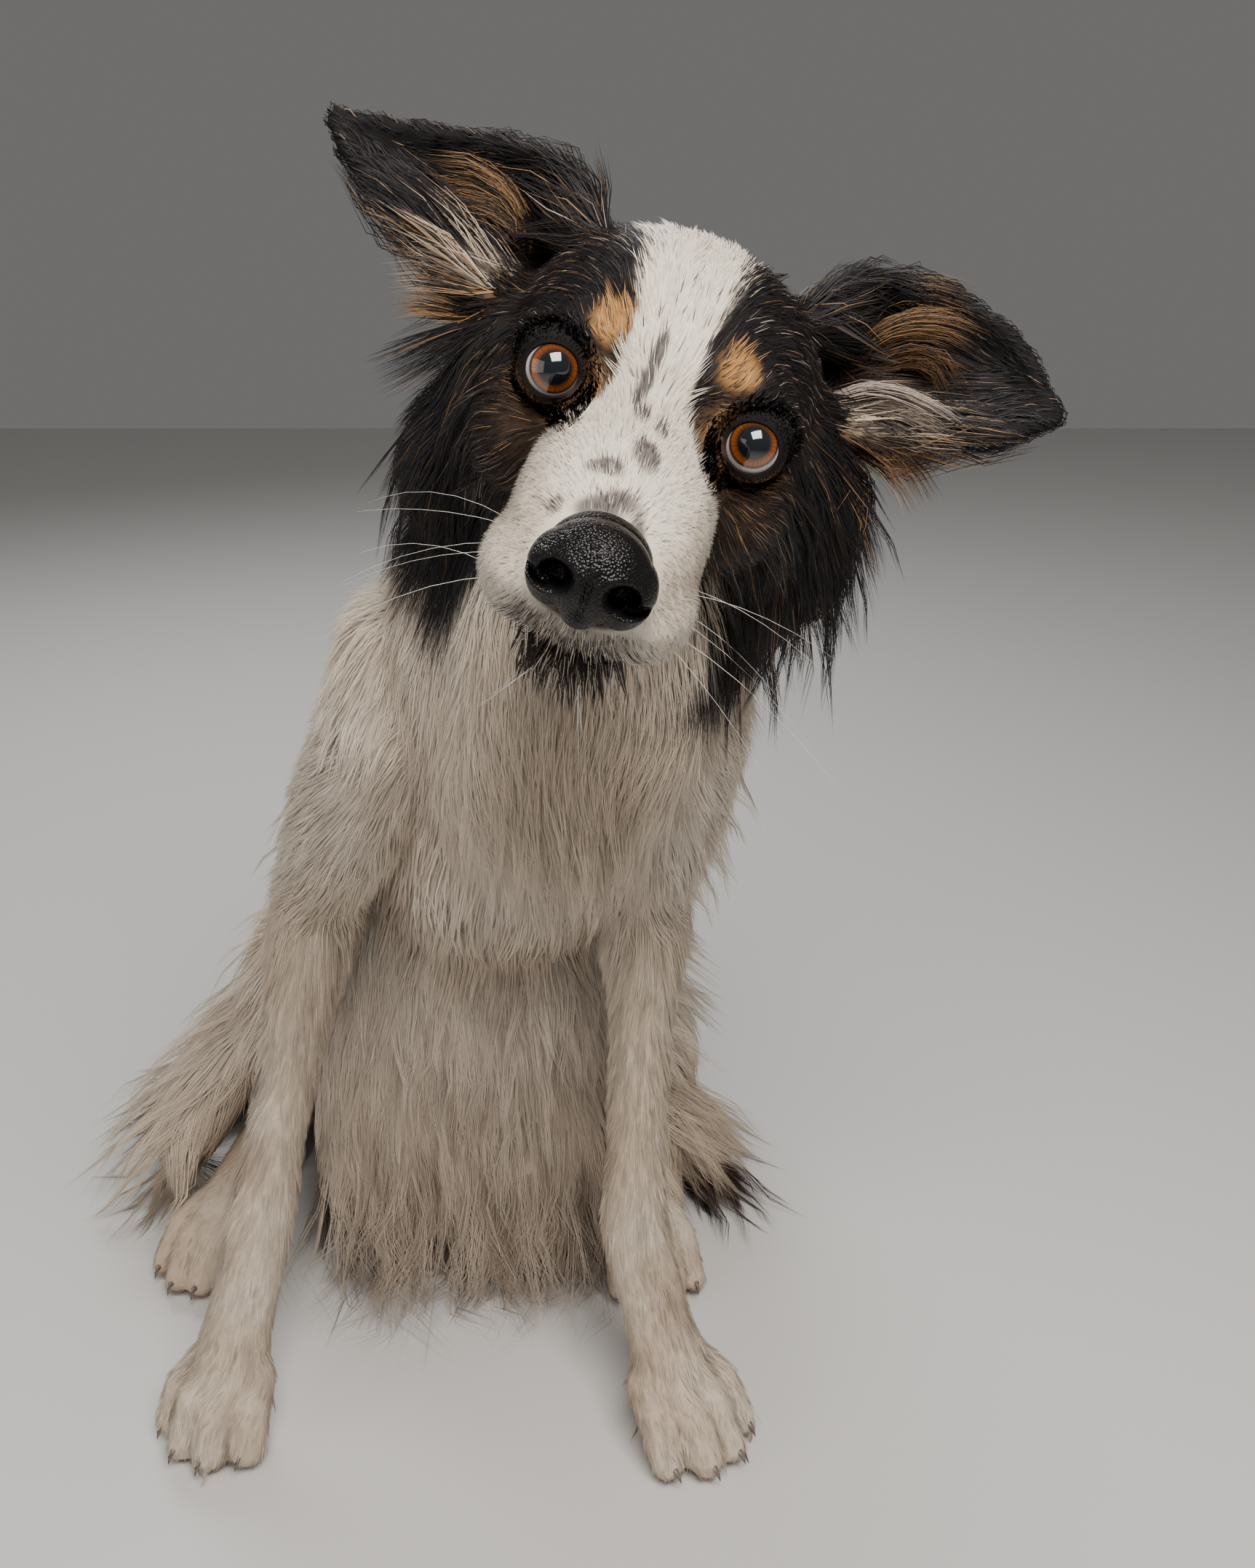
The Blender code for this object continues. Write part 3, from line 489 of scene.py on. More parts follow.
# ------------------------------------------------------------------ markings
WHITE = np.array((0.84, 0.75, 0.635))
BEIGE = np.array((0.55, 0.42, 0.31))
BLACK = np.array((0.012, 0.010, 0.011))
BROWN = np.array((0.045, 0.028, 0.020))
TAN = np.array((0.42, 0.235, 0.105))
CREAM = np.array((0.62, 0.49, 0.365))
RED = np.array((0.13, 0.050, 0.022))
# grey-black ticks of the muzzle's bridge: left, forward, half width, half length and turn
TICKS = [(-4.5, 15, 2.2, 8, -0.15), (-2.5, 30, 2.6, 6, -0.1), (4.5, 35, 2.4, 6, 0.1),
         (3.0, 55, 4.4, 8, 0.25), (-6.5, 66, 5.2, 4.4, 0), (-16, 78, 2.0, 3.4, 0.5),
         (-3, 79, 9.0, 5.0, 0.2), (7.5, 84, 3.6, 7.0, 0.35)]


def blend(a, b, t):
    """Colours a drawn towards b by the share t of each point."""
    return a + (b - a) * np.clip(t, 0, 1)[:, None]


def chance(share, rnd):
    """Which single hairs take a colour that covers that share of the coat; the skin gets the mean."""
    return np.where(rnd < 0, share, smooth(-0.08, 0.08, share - rnd))


def head_markings(p, x, f, u, rnd, kind):
    ax = np.abs(x)
    n1, n2 = waves(p, 0.011), waves(p, 0.004, 1)
    half_r = np.interp(f, (-120, -80, -35, -10, 5, 12, 20, 30, 42, 60),
                       (24, 23, 20.5, 17.4, 13.2, 14.2, 18.5, 25, 36, 60))
    half_l = np.interp(f, (-120, -80, -30, -4, 10, 14, 20, 30, 44, 60),
                       (14, 14, 12.5, 10.5, 9.4, 9.6, 13.3, 17, 23, 60))
    half = np.where(x < 0, half_r, half_l) + 1.2 * n1
    line = np.interp(f, (-95, -70, -40, -12, 22, 36, 52), (-96, -84, -66, -44, -20, -10, 8)) + 2.5 * n1
    soft = 3.5 * smooth(5, -20, f) + 1.2
    black = smooth(-1, 1, (ax - half) / soft) * smooth(-2.5, 2.5, u - line)
    black = chance(black, rnd)
    c = blend(WHITE, BLACK, black)
    brow = egg((ax, f, u), (20.5, 4, 20.5), (6.2, 11, 6.4)) + 0.16 * n2
    orange = smooth(1.5, 0.9, brow)
    tan = chance(0.84 * smooth(1.6, 0.5, brow), rnd)
    under = egg((ax, u, f), (36, -22, -4), (14, 15, 26))
    inner = egg((ax, u, f), (20, -6, 12), (9, 16, 16))
    cheek = np.maximum(0.09 * smooth(1.3, 0.5, under), 0.34 * smooth(1.3, 0.5, inner))
    edge = 0.62 * smooth(8, 1, u - line + 2 * n2) * smooth(-56, -30, f) * (ax > 15)
    tan = np.maximum(tan, chance(np.maximum(cheek, edge), np.where(rnd < 0, rnd, (rnd * 7.13) % 1)))
    c = blend(c, BROWN, 0.5 * smooth(1.5, 0.8, np.minimum(under, inner)) * black)
    c = blend(c, blend(TAN, (0.50, 0.255, 0.09), orange), tan * black)
    warm = smooth(16, 5, np.abs(ax - 25) + np.abs(u + 30) * 0.5) * smooth(40, 60, f) * 0.5
    c = blend(c, CREAM, warm * (1 - black))
    for g in (1, -1):
        a, b, d = eye_local(p, g)
        halo = np.exp(-(((lid_reach(a, b) - 1.6) / 0.45) ** 2)) * (np.abs(d) < 22) * black
        halo = halo * smooth(9, -2, b + 0.5 * a)
        c = blend(c, (0.085, 0.050, 0.031), 0.8 * halo)
        speckle = 0.10 + 0.22 * smooth(3, -8, b) + 0.15 * smooth(2, -9, a)
        c = blend(c, TAN * 0.8, chance(halo * speckle, rnd))
    for tx, tf, rx, rf, turn in TICKS:
        dx, df = x - tx, f - tf
        dx, df = dx * math.cos(turn) - df * math.sin(turn), dx * math.sin(turn) + df * math.cos(turn)
        spot = smooth(1.25, 0.7, np.hypot(dx / rx, df / rf) + 0.22 * n2) * (u > -28)
        c = blend(c, (0.07, 0.06, 0.06), chance(0.85 * spot, rnd))
    lip = smooth(62, 76, f) * smooth(-45, -51, u) * smooth(25, 14, ax) * (kind != "jaw")
    c = blend(c, (0.045, 0.038, 0.036), chance(0.66 * lip, rnd))
    over = u - mouth_line(f)
    edge = smooth(6.5, 1.5, over) * smooth(-2, 0, over) * smooth(10, 30, f) * (kind == "muzzle")
    c = blend(c, (0.12, 0.095, 0.085), chance(0.62 * edge, rnd))
    edge = smooth(-7, -1, over) * smooth(10, 30, f) * (kind == "jaw")
    c = blend(c, BROWN, chance(0.75 * edge, rnd))
    chin = smooth(48, 60, f) * smooth(-80, -73, u) * smooth(-57, -62, u) * smooth(26, 19, ax)
    c = blend(c, BROWN * 0.6, np.where(rnd < 0, chin, chance(0.80 * chin, rnd)))
    return c


def markings(p, which, share, rnd=None):
    """The coat's colour at each point, and for single hairs with their own chance rnd."""
    rnd = np.full(len(p), -1.0) if rnd is None else rnd
    x, f, u = heads(p)
    ax = np.abs(x)
    n1, n2, n3 = waves(p, 0.011), waves(p, 0.004, 1), waves(p, 0.03, 2)
    kind = kinds_of(which)
    name = np.array(LABELS)[which]
    colour = np.tile(WHITE, (len(p), 1))

    def of(*kinds):
        return np.isin(kind, kinds)

    def pale():
        return colour[:, 0] > 0.3

    def paint(where, tint, share):
        colour[where] = blend(colour, tint, share)[where]

    face = of("skull", "cheek", "muzzle", "jaw", "throat", "hang")
    colour[face] = head_markings(p, x, f, u, rnd, kind)[face]
    hang = of("hang")
    drop = smooth(24, 34, ax) * smooth(-96, -84, u + 4 * n1)
    c = blend(WHITE, BLACK, drop)
    c = blend(c, TAN * 0.45, chance(0.04, rnd) * drop)
    colour[hang] = c[hang]

    # ears: black tips and backs, tan streaks above, a dark hollow and a pale band below
    t, v = share[:, 0], share[:, 1]
    front = smooth(-0.002, 0.002, (f + 58) * MM + 0.02 * (4 * v * (1 - v)) * (1 - t)) * of("ear")
    streak = 0.30 * smooth(0.46, 0.58, v) * smooth(0.94, 0.84, v) * smooth(0.50, 0.34, t)
    lock = 0.6 * smooth(0.30, 0.22, v) * smooth(0.0, 0.06, v) * smooth(0.40, 0.24, t + 0.1 * v)
    fold = smooth(0.16, 0.06, np.abs(v - 0.42)) * smooth(0.42, 0.3, t)
    c = blend(BLACK, TAN, chance(streak, rnd) * front)
    c = blend(c, CREAM * 0.7, chance(lock, rnd) * front)
    c = blend(c, (0.050, 0.028, 0.022), fold * front)
    under = chance(0.35 * smooth(0.10, 0.02, v) * smooth(0.5, 0.35, t), rnd)
    c = blend(c, TAN * 0.7, under)
    colour[of("ear")] = c[of("ear")]

    # neck: black behind the cheeks, white collar
    reach = -101 + 9 * n3 + 5 * n1 + 0.35 * (ax - 45)
    side = smooth(33, 43, ax + 5 * n1) * smooth(-7, 7, u - reach)
    nape = smooth(-96, -104, f + 4 * n1) * smooth(-64, -50, u) * smooth(6, 12, ax)
    paint(of("neck", "mane", "ruff"), BLACK, np.maximum(side, nape))

    # trunk: a black saddle from behind the withers
    y, z, cx = p[:, 1], p[:, 2], np.interp(p[:, 1], (0.10, 0.35), (0.045, -0.024))
    back = z - np.interp(y, (0.10, 0.20, 0.30, 0.38), (0.43, 0.325, 0.225, 0.08))
    saddle = smooth(-0.008, 0.008, back + 0.10 * (0.12 - np.abs(p[:, 0] - cx)) + 0.010 * n3 + 0.004 * n1)
    saddle = saddle * smooth(0.135, 0.15, y + 0.012 * n3)
    paint(of("barrel", "mane"), BLACK, saddle)
    mark = smooth(0.250, 0.267, y + 0.02 * n3 + 0.22 * (z - 0.14) - 0.085 * (p[:, 0] > 0))
    paint(of("thigh"), BLACK, mark)
    shade = smooth(0.30, 0.10, z) * smooth(0.02, 0.10, y)
    paint(of("belly", "barrel") & pale(), BEIGE, 0.60 * shade)
    # belly: darker streaks low down that fade out at the hem, painted shade between the locks under the body
    streaks = waves(p * (1, 1, 0.22), 0.0045, 3) + 0.5 * waves(p * (1, 1, 0.3), 0.012, 4)
    belly_shade = smooth(0.0, 1.0, streaks) * smooth(0.19, 0.09, z) * smooth(0.015, 0.06, z)
    paint(of("belly"), (0.20, 0.135, 0.10), 0.75 * belly_shade)
    body = of("neck", "ruff", "mane", "barrel", "arm") & pale()
    paint(body, CREAM, 0.48 + 0.22 * n3 + 0.10 * n1)
    leg = of("fore", "shank", "pawf", "pawh", "thigh", "fringe") & pale()
    paint(leg, CREAM, 0.66 + 0.30 * n3 + 0.15 * n1)
    # legs: streaky patches of painted shade along their length
    leg_shade = waves(p * (1, 1, 0.35), 0.009, 5) + 0.6 * waves(p * (1, 1, 0.4), 0.026, 6)
    paint(leg, (0.30, 0.21, 0.155), 0.42 * smooth(0.1, 1.5, leg_shade))
    # paws: painted shade in the grooves between the toes, where the skin lies off the toes' forms
    paint(of("pawf", "pawh"), BROWN, 0.55 * smooth(0.25, 1.8, share[:, 2]))
    spot = smooth(1.2, 0.7, egg((p[:, 0], z), (0.053, 0.184), (0.014, 0.034)) + 0.2 * n2) * (y < 0.13)
    paint(of("ruff", "barrel", "belly"), BLACK, chance(0.95 * spot, rnd))
    small = smooth(0.013, 0.006, np.linalg.norm(p - (-0.112, 0.125, 0.165), axis=1) + 0.003 * n2)
    grey = smooth(0.010, 0.004, np.linalg.norm(p - (-0.096, 0.072, 0.175), axis=1) + 0.002 * n2)
    paint(np.isin(name, ("thigh_r", "shank_r", "fore_r")), BLACK, np.maximum(small, 0.6 * grey))

    rear = of("tail", "breech")
    dark = blend(BLACK, RED, 0.28 + 0.30 * n2)
    dark = blend(dark, CREAM * 0.6, chance(0.12, rnd) * (rnd >= 0))
    plain = blend(BLACK, RED, 0.25 + 0.15 * n2)
    black_root = of("breech") * smooth(-0.20, -0.15, p[:, 0])
    colour[rear] = blend(dark, plain, of("tail") * 0.5 + black_root)[rear]
    return np.clip(colour, 0.004, 0.95)


# ------------------------------------------------------------------ materials
def principled(name, colour=None, roughness=0.5, **sockets):
    m = bpy.data.materials.new(name)
    m.use_nodes = True
    shader = m.node_tree.nodes["Principled BSDF"]
    shader.inputs["Roughness"].default_value = roughness
    if colour is not None:
        shader.inputs["Base Color"].default_value = (*colour, 1)
    for key, value in sockets.items():
        shader.inputs[key.replace("_", " ")].default_value = value
    return m


def painted(name, layer="coat_colour", **look):
    """A material that takes its colour from the points' own colour layer."""
    m = principled(name, **look)
    nodes, links = m.node_tree.nodes, m.node_tree.links
    read = nodes.new("ShaderNodeAttribute")
    read.attribute_name = layer
    links.new(read.outputs["Color"], nodes["Principled BSDF"].inputs["Base Color"])
    return m


def add_bump(m, scale, strength, distance, pebbled=False):
    """Fine relief: soft noise, or the rounded cells of the nose's leather."""
    nodes, links = m.node_tree.nodes, m.node_tree.links
    where = nodes.new("ShaderNodeTexCoord")
    relief = nodes.new("ShaderNodeTexVoronoi" if pebbled else "ShaderNodeTexNoise")
    relief.inputs["Scale"].default_value = scale
    if not pebbled:
        relief.inputs["Detail"].default_value = 3.0
    bump = nodes.new("ShaderNodeBump")
    bump.invert = pebbled
    bump.inputs["Strength"].default_value = strength
    bump.inputs["Distance"].default_value = distance
    links.new(where.outputs["Object"], relief.inputs["Vector"])
    links.new(relief.outputs["Distance" if pebbled else "Fac"], bump.inputs["Height"])
    links.new(bump.outputs["Normal"], nodes["Principled BSDF"].inputs["Normal"])


def add_object(name, mesh, material):
    """Puts a mesh laid out on the toes' frame into the scene, in the row frame."""
    mesh.transform(Matrix.Translation(SHIFT))
    mesh.materials.clear()
    mesh.materials.append(material)
    obj = bpy.data.objects.new(name, mesh)
    bpy.context.scene.collection.objects.link(obj)
    for poly in mesh.polygons:
        poly.use_smooth = True
    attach(obj, "root")
    return obj


def set_colours(mesh, rgb, name="coat_colour"):
    layer = mesh.color_attributes.new(name, "FLOAT_COLOR", "POINT")
    layer.data.foreach_set("color", np.hstack([rgb, np.ones((len(rgb), 1))]).astype(np.float32).ravel())


def set_uv(mesh, uv_of_loops):
    layer = mesh.uv_layers.new(name="OFBake")
    layer.data.foreach_set("uv", np.asarray(uv_of_loops, np.float32).ravel())


def points_of(mesh, what="co"):
    values = np.empty(len(mesh.vertices) * 3, np.float32)
    mesh.vertices.foreach_get(what, values)
    return values.reshape(-1, 3).astype(float)


def corners(mesh):
    """The index of the point at each corner of the faces."""
    index = np.empty(len(mesh.loops), np.int32)
    mesh.loops.foreach_get("vertex_index", index)
    return index


def put_points(mesh, p):
    mesh.vertices.foreach_set("co", np.asarray(p, np.float32).ravel())
    mesh.update()


# ------------------------------------------------------------------ the face's folds
def eye_local(p, g):
    """Millimetres out, up and forward from the eyeball's centre on side g."""
    x, f, u = heads(p)
    return g * x - EYE_AT, u, f + 2


# The eye's opening: half its width, half its height above, below and on the mean, and its centre.
OPEN_WIDE, OPEN_ABOVE, OPEN_BELOW, OPEN_MEAN = 8.2, 7.7, 7.9, 7.8
OPEN_AT = (-0.5, 0.2)
# Where the rings of the lids lie, in reaches from that centre: the socket that they cover, the hair of
# the face outside them, and the rings that carry the lids' own hair.
SOCKET_REACH = 1.5
FACE_HAIR_FROM = 1.75
LID_HAIR = (1.25, 1.95)
LID_DEPTH = 16


def lid_curve(angle, k=1.0):
    """The edge of the eye's opening, scaled by k: millimetres out and up from the eyeball's centre."""
    a = OPEN_WIDE * np.cos(angle)
    b = np.where(np.sin(angle) > 0, OPEN_ABOVE, OPEN_BELOW) * np.sin(angle)
    return a * k + OPEN_AT[0], b * k + OPEN_AT[1]


def lid_reach(a, b):
    """How far out from the opening's centre a point is, where its edge is 1."""
    return np.hypot((a - OPEN_AT[0]) / OPEN_WIDE, (b - OPEN_AT[1]) / OPEN_MEAN)


def mouth_line(f):
    """The height of the mouth in the head's frame."""
    return np.interp(f, (-14, 10, 40, 60, 74, 90), (-52, -55, -60, -62.5, -62, -59))


def sculpt_face(p):
    """Sinks the eye sockets and adds the mouth, the philtrum and the furrow of the brow."""
    x, f, u = heads(p)
    ax = np.abs(x)
    for g in (1, -1):
        a, b, c = eye_local(p, g)
        r = lid_reach(a, b)
        inside = (c > -8) & (c < 24) & (r < 2.2)
        sink = smooth(1.75, 1.3, r) * inside
        f = f - sink * np.maximum(c + 5, 0)
    nose = np.hypot(x / 17.5, (u - NOSE_AT) / 14.0)
    f = np.where((nose < 1.15) & (f > 85), f - smooth(1.15, 0.95, nose) * (f - 85) * 0.9, f)
    front = smooth(-14, 4, f)
    groove = np.exp(-(((u - mouth_line(f)) / 1.5) ** 2)) * front
    x = x - np.sign(x) * 2.6 * groove * smooth(4, 12, ax)
    f = f - 3 * groove * smooth(66, 80, f)
    f = f - 0.30 * np.maximum(f - 74, 0) * smooth(-46, -60, u)
    philtrum = np.exp(-((x / 0.9) ** 2)) * smooth(80, 86, f) * smooth(-45, -49, u) * smooth(-62, -58, u)
    f = f - 1.6 * philtrum
    furrow = np.exp(-((x / 2.6) ** 2)) * smooth(-60, -30, f) * smooth(14, -4, f) * smooth(0, 10, u)
    u = u - 1.1 * furrow
    return from_head(x, f, u)


def lids(tree):
    """Both eyes' lids: rings from the edge against the eyeball out to the skin of the face."""
    rings = ((0.99, 10.72, 0), (1.0, 11.2, 0), (1.05, 11.8, 0), (1.13, 12.1, 0.1), (1.28, 12.2, 0.4),
             (1.45, 12.2, 0.8), (1.65, 12.0, 1.0), (1.9, 11, 1.0), (2.1, 10, 1.15))
    steps = 72
    angle = np.arange(steps) * 2 * math.pi / steps
    verts, faces, rim = [], [], []
    for g in (1, -1):
        base = len(verts)
        for k, radius, on_skin in rings:
            a, b = lid_curve(angle, k)
            c = np.sqrt(np.maximum(radius**2 - np.minimum(a**2 + b**2, radius**2 * 0.93), 1))
            own = from_head(g * (a + EYE_AT), c - 2, b)
            for i in range(steps):
                q = Vector(own[i])
                if on_skin:
                    start = Vector(from_head(np.array(g * (a[i] + EYE_AT)), np.array(40.0), np.array(b[i])))
                    hit = tree.ray_cast(start, -FRONT, 0.12)
                    if hit[0] is not None:
                        q = q.lerp(hit[0] - FRONT * (0.0012 if on_skin > 1 else -0.0003), min(on_skin, 1))
                centre = Vector(from_head(g * EYE_AT, -2.0, 0.0))
                if 1 < k < 2.2:
                    q = centre + (q - centre).normalized() * max((q - centre).length, 0.0116)
                verts.append(q)
                rim.append(k)
        loops = [range(base + j * steps, base + (j + 1) * steps) for j in range(len(rings))]
        faces += [quad if g > 0 else quad[::-1] for quad in bridge(loops)]
    return verts, faces, np.array(rim)


# ------------------------------------------------------------------ skin
def make_skin():
    """The skin as one mesh, and for each point the ring of the lids it is on, or 0."""
    lay_out_body()
    mesh = base_mesh()
    refine_head(mesh)
    plain = points_of(mesh)
    tree = BVHTree.FromPolygons([Vector(v) for v in plain], [p.vertices[:] for p in mesh.polygons])
    verts, faces, rim = lids(tree)
    put_points(mesh, sculpt_face(plain))
    bm = bmesh.new()
    bm.from_mesh(mesh)
    rims = np.zeros(len(bm.verts) + len(verts))
    rims[len(bm.verts):] = rim
    new = [bm.verts.new(v) for v in verts]
    for face in faces:
        bm.faces.new([new[i] for i in face])
    for v in bm.verts:
        v.co.z = max(v.co.z, 0.0)
    bmesh.ops.triangulate(bm, faces=bm.faces)
    bm.to_mesh(mesh)
    bm.free()
    return mesh, rims


skin, rim_of = make_skin()
P = points_of(skin)
NORMAL = points_of(skin, "normal")
TRIS = corners(skin).reshape(-1, 3)
LABEL, WAY, SHARE = label_points(P)
NAME = np.array(LABELS)[LABEL]
KIND = kinds_of(LABEL)
UV = chart_uv(P, LABEL)
hx, hf, hu = heads(P)


def skin_colours():
    rgb = markings(P, LABEL, SHARE)
    lip_line = np.exp(-(((hu - mouth_line(hf)) / 1.7) ** 2)) * (hf > -10) * np.isin(NAME, ("muzzle", "jaw"))
    rgb = blend(rgb, (0.008, 0.007, 0.007), 1.5 * lip_line)
    socket = np.zeros(len(P), bool)
    for g in (1, -1):
        a, b, c = eye_local(P, g)
        r = lid_reach(a, b)
        socket |= (rim_of == 0) & (r < SOCKET_REACH) & (np.abs(c) < LID_DEPTH)
        ring = (np.abs(c - 4) < 14) & (np.sign(hx) == g)
        wide = 1.16 + 0.10 * (b > 0)
        rgb = blend(rgb, (0.006, 0.005, 0.005), smooth(wide + 0.12, wide - 0.05, r) * ring)
        corner = np.exp(-(((a + 9.6) / 2.6) ** 2 + ((b + 4.2) / 2.8) ** 2)) * ring
        rgb = blend(rgb, (0.085, 0.045, 0.038), 0.6 * corner)
    rgb[socket] = (0.006, 0.005, 0.005)
    return rgb, socket, lip_line > 0.8


SKIN_RGB, SOCKET, LIPS = skin_colours()
SKIN_RGB = SKIN_RGB * col(np.where((rim_of > 0) | np.isin(NAME, ("neck", "ruff", "belly")), 0.95, 0.78))
set_colours(skin, SKIN_RGB)
corner_uv = UV[TRIS]
span = np.ptp(corner_uv, axis=1).max(axis=1) > 0.08
corner_uv[span] = corner_uv[span][:, :1] + np.array([[0, 0], [0.001, 0], [0, 0.001]])
set_uv(skin, corner_uv.reshape(-1, 2))
skin_material = painted("skin", roughness=0.85, Specular_IOR_Level=0.15)
add_bump(skin_material, 420, 0.5, 0.0008)
skin_tree = BVHTree.FromPolygons([Vector(v) for v in P], TRIS.tolist())

# ------------------------------------------------------------------ coat
# What each kind of coat is like: slot, length mm, height of the tips over the skin mm, width mm, hairs
# per cm2, points along a hair, curl and how much the hairs draw together.
Coat = namedtuple("Coat", "slot length height width density points curl clump")
COAT = {kind: Coat(*values) for kind, *values in (
    ("muzzle", "white_coat", 6.0, 1.8, 0.32, 112, 2, 0.1, 0.15),
    ("jaw", "white_coat", 8.5, 2.8, 0.32, 90, 2, 0.1, 0.25),
    ("skull", "black_coat", 13, 3.6, 0.36, 60, 3, 0.1, 0.30),
    ("cheek", "black_coat", 13, 5.0, 0.33, 84, 3, 0.15, 0.35),
    ("hang", "black_coat", 34, 11, 0.48, 33, 3, 0.3, 0.55),
    ("throat", "white_coat", 22, 10, 0.42, 40, 3, 0.2, 0.45),
    ("ear", "black_coat", 12, 2.4, 0.44, 29, 3, 0.15, 0.35),
    ("neck", "white_coat", 34, 14, 0.47, 29, 3, 0.3, 0.35),
    ("mane", "white_coat", 42, 16, 0.82, 11, 3, 0.25, 0.55),
    ("ruff", "white_coat", 34, 14, 0.45, 37, 3, 0.35, 0.35),
    ("barrel", "black_coat", 40, 14, 1.10, 5.8, 3, 0.25, 0.5),
    ("belly", "white_coat", 52, 11, 0.54, 14.5, 3, 0.6, 0.7),
    ("arm", "white_coat", 26, 9, 0.58, 20.5, 3, 0.25, 0.45),
    ("fore", "white_coat", 13, 3.4, 0.42, 48, 2, 0.1, 0.5),
    ("pawf", "white_coat", 9, 2.2, 0.38, 48, 2, 0.1, 0.45),
    ("pawh", "white_coat", 7.5, 1.8, 0.44, 22, 2, 0.1, 0.2),
    ("thigh", "white_coat", 36, 13, 0.80, 8.8, 3, 0.3, 0.45),
    ("shank", "white_coat", 28, 9, 0.72, 11, 3, 0.3, 0.45),
    ("fringe", "white_coat", 58, 12, 0.60, 21, 3, 0.45, 0.55),
    ("tail", "brown_coat", 56, 8, 0.62, 13.5, 3, 0.4, 0.55),
    ("breech", "brown_coat", 60, 12, 0.66, 12, 3, 0.4, 0.55),
)}
# How much the tone changes from lock to lock, where it isn't the usual share.
LOCK_TONE = {"belly": 0.16, "fore": 0.13, "pawf": 0.13, "pawh": 0.13}


def flow(p, n, which, way, share):
    """The lie of the coat: unit directions along the skin."""
    x, f, u = heads(p)
    ax, g = np.abs(x), col(np.sign(x))
    kind = kinds_of(which)
    d = way.copy()
    out = col(smooth(6, 30, ax) * smooth(10, -15, f))
    low = col(smooth(0, -30, u))
    temple = col(smooth(26, 44, ax) * smooth(-5, -30, f))
    face = -nF + 0.75 * g * nL * out - 0.55 * low * nU - 1.0 * temple * nU
    face = face + 0.3 * col(smooth(0, 30, u) * smooth(-20, 10, f)) * nU
    lip = col(smooth(62, 80, f) * smooth(-40, -50, u))
    face = face * (1 - lip) + lip * (-1.0 * nU + 0.03 * col(x) * nL)
    for s in (1, -1):
        a, b, c = eye_local(p, s)
        near = col(np.exp(-((a**2 + b**2) / 170)) * (np.abs(c) < 30))
        radial = s * col(a) * nL + col(b) * nU
        face = face + near * 1.0 * unit(radial)
    high = col(smooth(-6, 30, u))
    hanging = (DOWN * 0.9 - 0.30 * nF + 0.30 * g * nL) * (1 - high)
    hanging = hanging + high * (-0.5 * nF + 0.9 * g * nL + 0.5 * nU)
    t, v = col(share[:, 0]), col(share[:, 1])
    ear = g * nL + nU * (0.15 + 0.9 * (v - 0.45) * smooth(0.5, 0.0, t)) - 0.35 * nU * smooth(0.3, 0.0, v)
    ear = ear + 0.16 * drift(p, 0.010, 1)
    back = np.array((-0.1, 0.72, -0.7))
    centre = np.interp(p[:, 2], (0.1, 0.45), (0.0, 0.07))
    off = p[:, 0] - centre
    inward = col(-np.sign(off) * smooth(0.01, 0.06, np.abs(off))) * np.array((1.0, 0, 0))
    for label, value in (
        ("skull", face),
        ("cheek", face),
        ("muzzle", face),
        ("jaw", face),
        ("hang", hanging),
        ("throat", DOWN * 0.7 - 0.5 * nF + 0 * p),
        ("ear", ear),
        ("neck", DOWN + 0.25 * REAR * col(smooth(0, 0.06, p[:, 1])) - 0.18 * inward),
        ("ruff", DOWN + 0.32 * inward + 0.18 * drift(p, 0.03, 5)),
        ("mane", back + 0 * p),
        ("barrel", back + 0.5 * DOWN * col(smooth(0.3, -0.3, n[:, 2]))),
        ("belly", DOWN - 0.10 * inward),
        ("arm", way * 0.9 + 0.25 * REAR - 0.25 * inward),
        ("fore", way + 0.14 * REAR),
        ("thigh", DOWN * 0.9 + 0.2 * REAR - 0.30 * inward),
        ("shank", DOWN * 0.8 + 0.1 * REAR - 0.45 * inward),
        ("fringe", way * 0.9 + 0.35 * DOWN - 0.10 * REAR),
        ("tail", way + 0.5 * DOWN),
        ("breech", 0.7 * way + 0.9 * DOWN + 0.40 * n),
    ):
        d[kind == label] = value[kind == label]
    d = unit(d) + 0.15 * drift(p, 0.016, 0)
    d = d - (d * n).sum(1, keepdims=True) * n
    return unit(d)


def toned(rgb, tone):
    return np.clip(rgb * col(tone), 0.004, 0.95)


def scatter(label_kind):
    """Roots over the skin of every part of that kind: points, normals, label, way, share, UV, rim."""
    keep = KIND[TRIS[:, 0]] == label_kind
    mid = P[TRIS].mean(1)
    x, f, u = heads(mid)
    nose = (f > 82) & (np.hypot(x / 17, (u - NOSE_AT) / 13.5) < 1)
    rims = rim_of[TRIS].max(1)
    for g in (1, -1):
        a, b, c = eye_local(mid, g)
        keep &= ~((rims == 0) & (lid_reach(a, b) < FACE_HAIR_FROM) & (np.abs(c) < LID_DEPTH))
    keep &= (rims == 0) | ((rims >= LID_HAIR[0]) & (rims < LID_HAIR[1]))
    keep &= ~(SOCKET | LIPS)[TRIS].any(1) & ~nose & (mid[:, 2] > 0.0015)
    tri = TRIS[keep]
    a, b, c = P[tri[:, 0]], P[tri[:, 1]], P[tri[:, 2]]
    size = np.linalg.norm(np.cross(b - a, c - a), axis=1) / 2
    count = int(size.sum() * 1e4 * COAT[label_kind].density / THIN)
    size = size * (1 + 4 * (rims[keep] > 0))
    pick = tri[RNG.choice(len(tri), count, p=size / size.sum())]
    r = RNG.random((count, 2))
    r[r.sum(1) > 1] = 1 - r[r.sum(1) > 1]
    w = np.stack([1 - r.sum(1), r[:, 0], r[:, 1]], 1)[:, :, None]

    def mix(values):
        return (values[pick] * w).sum(1)

    root = pick[:, 0]
    return mix(P), unit(mix(NORMAL)), LABEL[root], mix(WAY), mix(SHARE), UV[root], rim_of[pick].max(1)


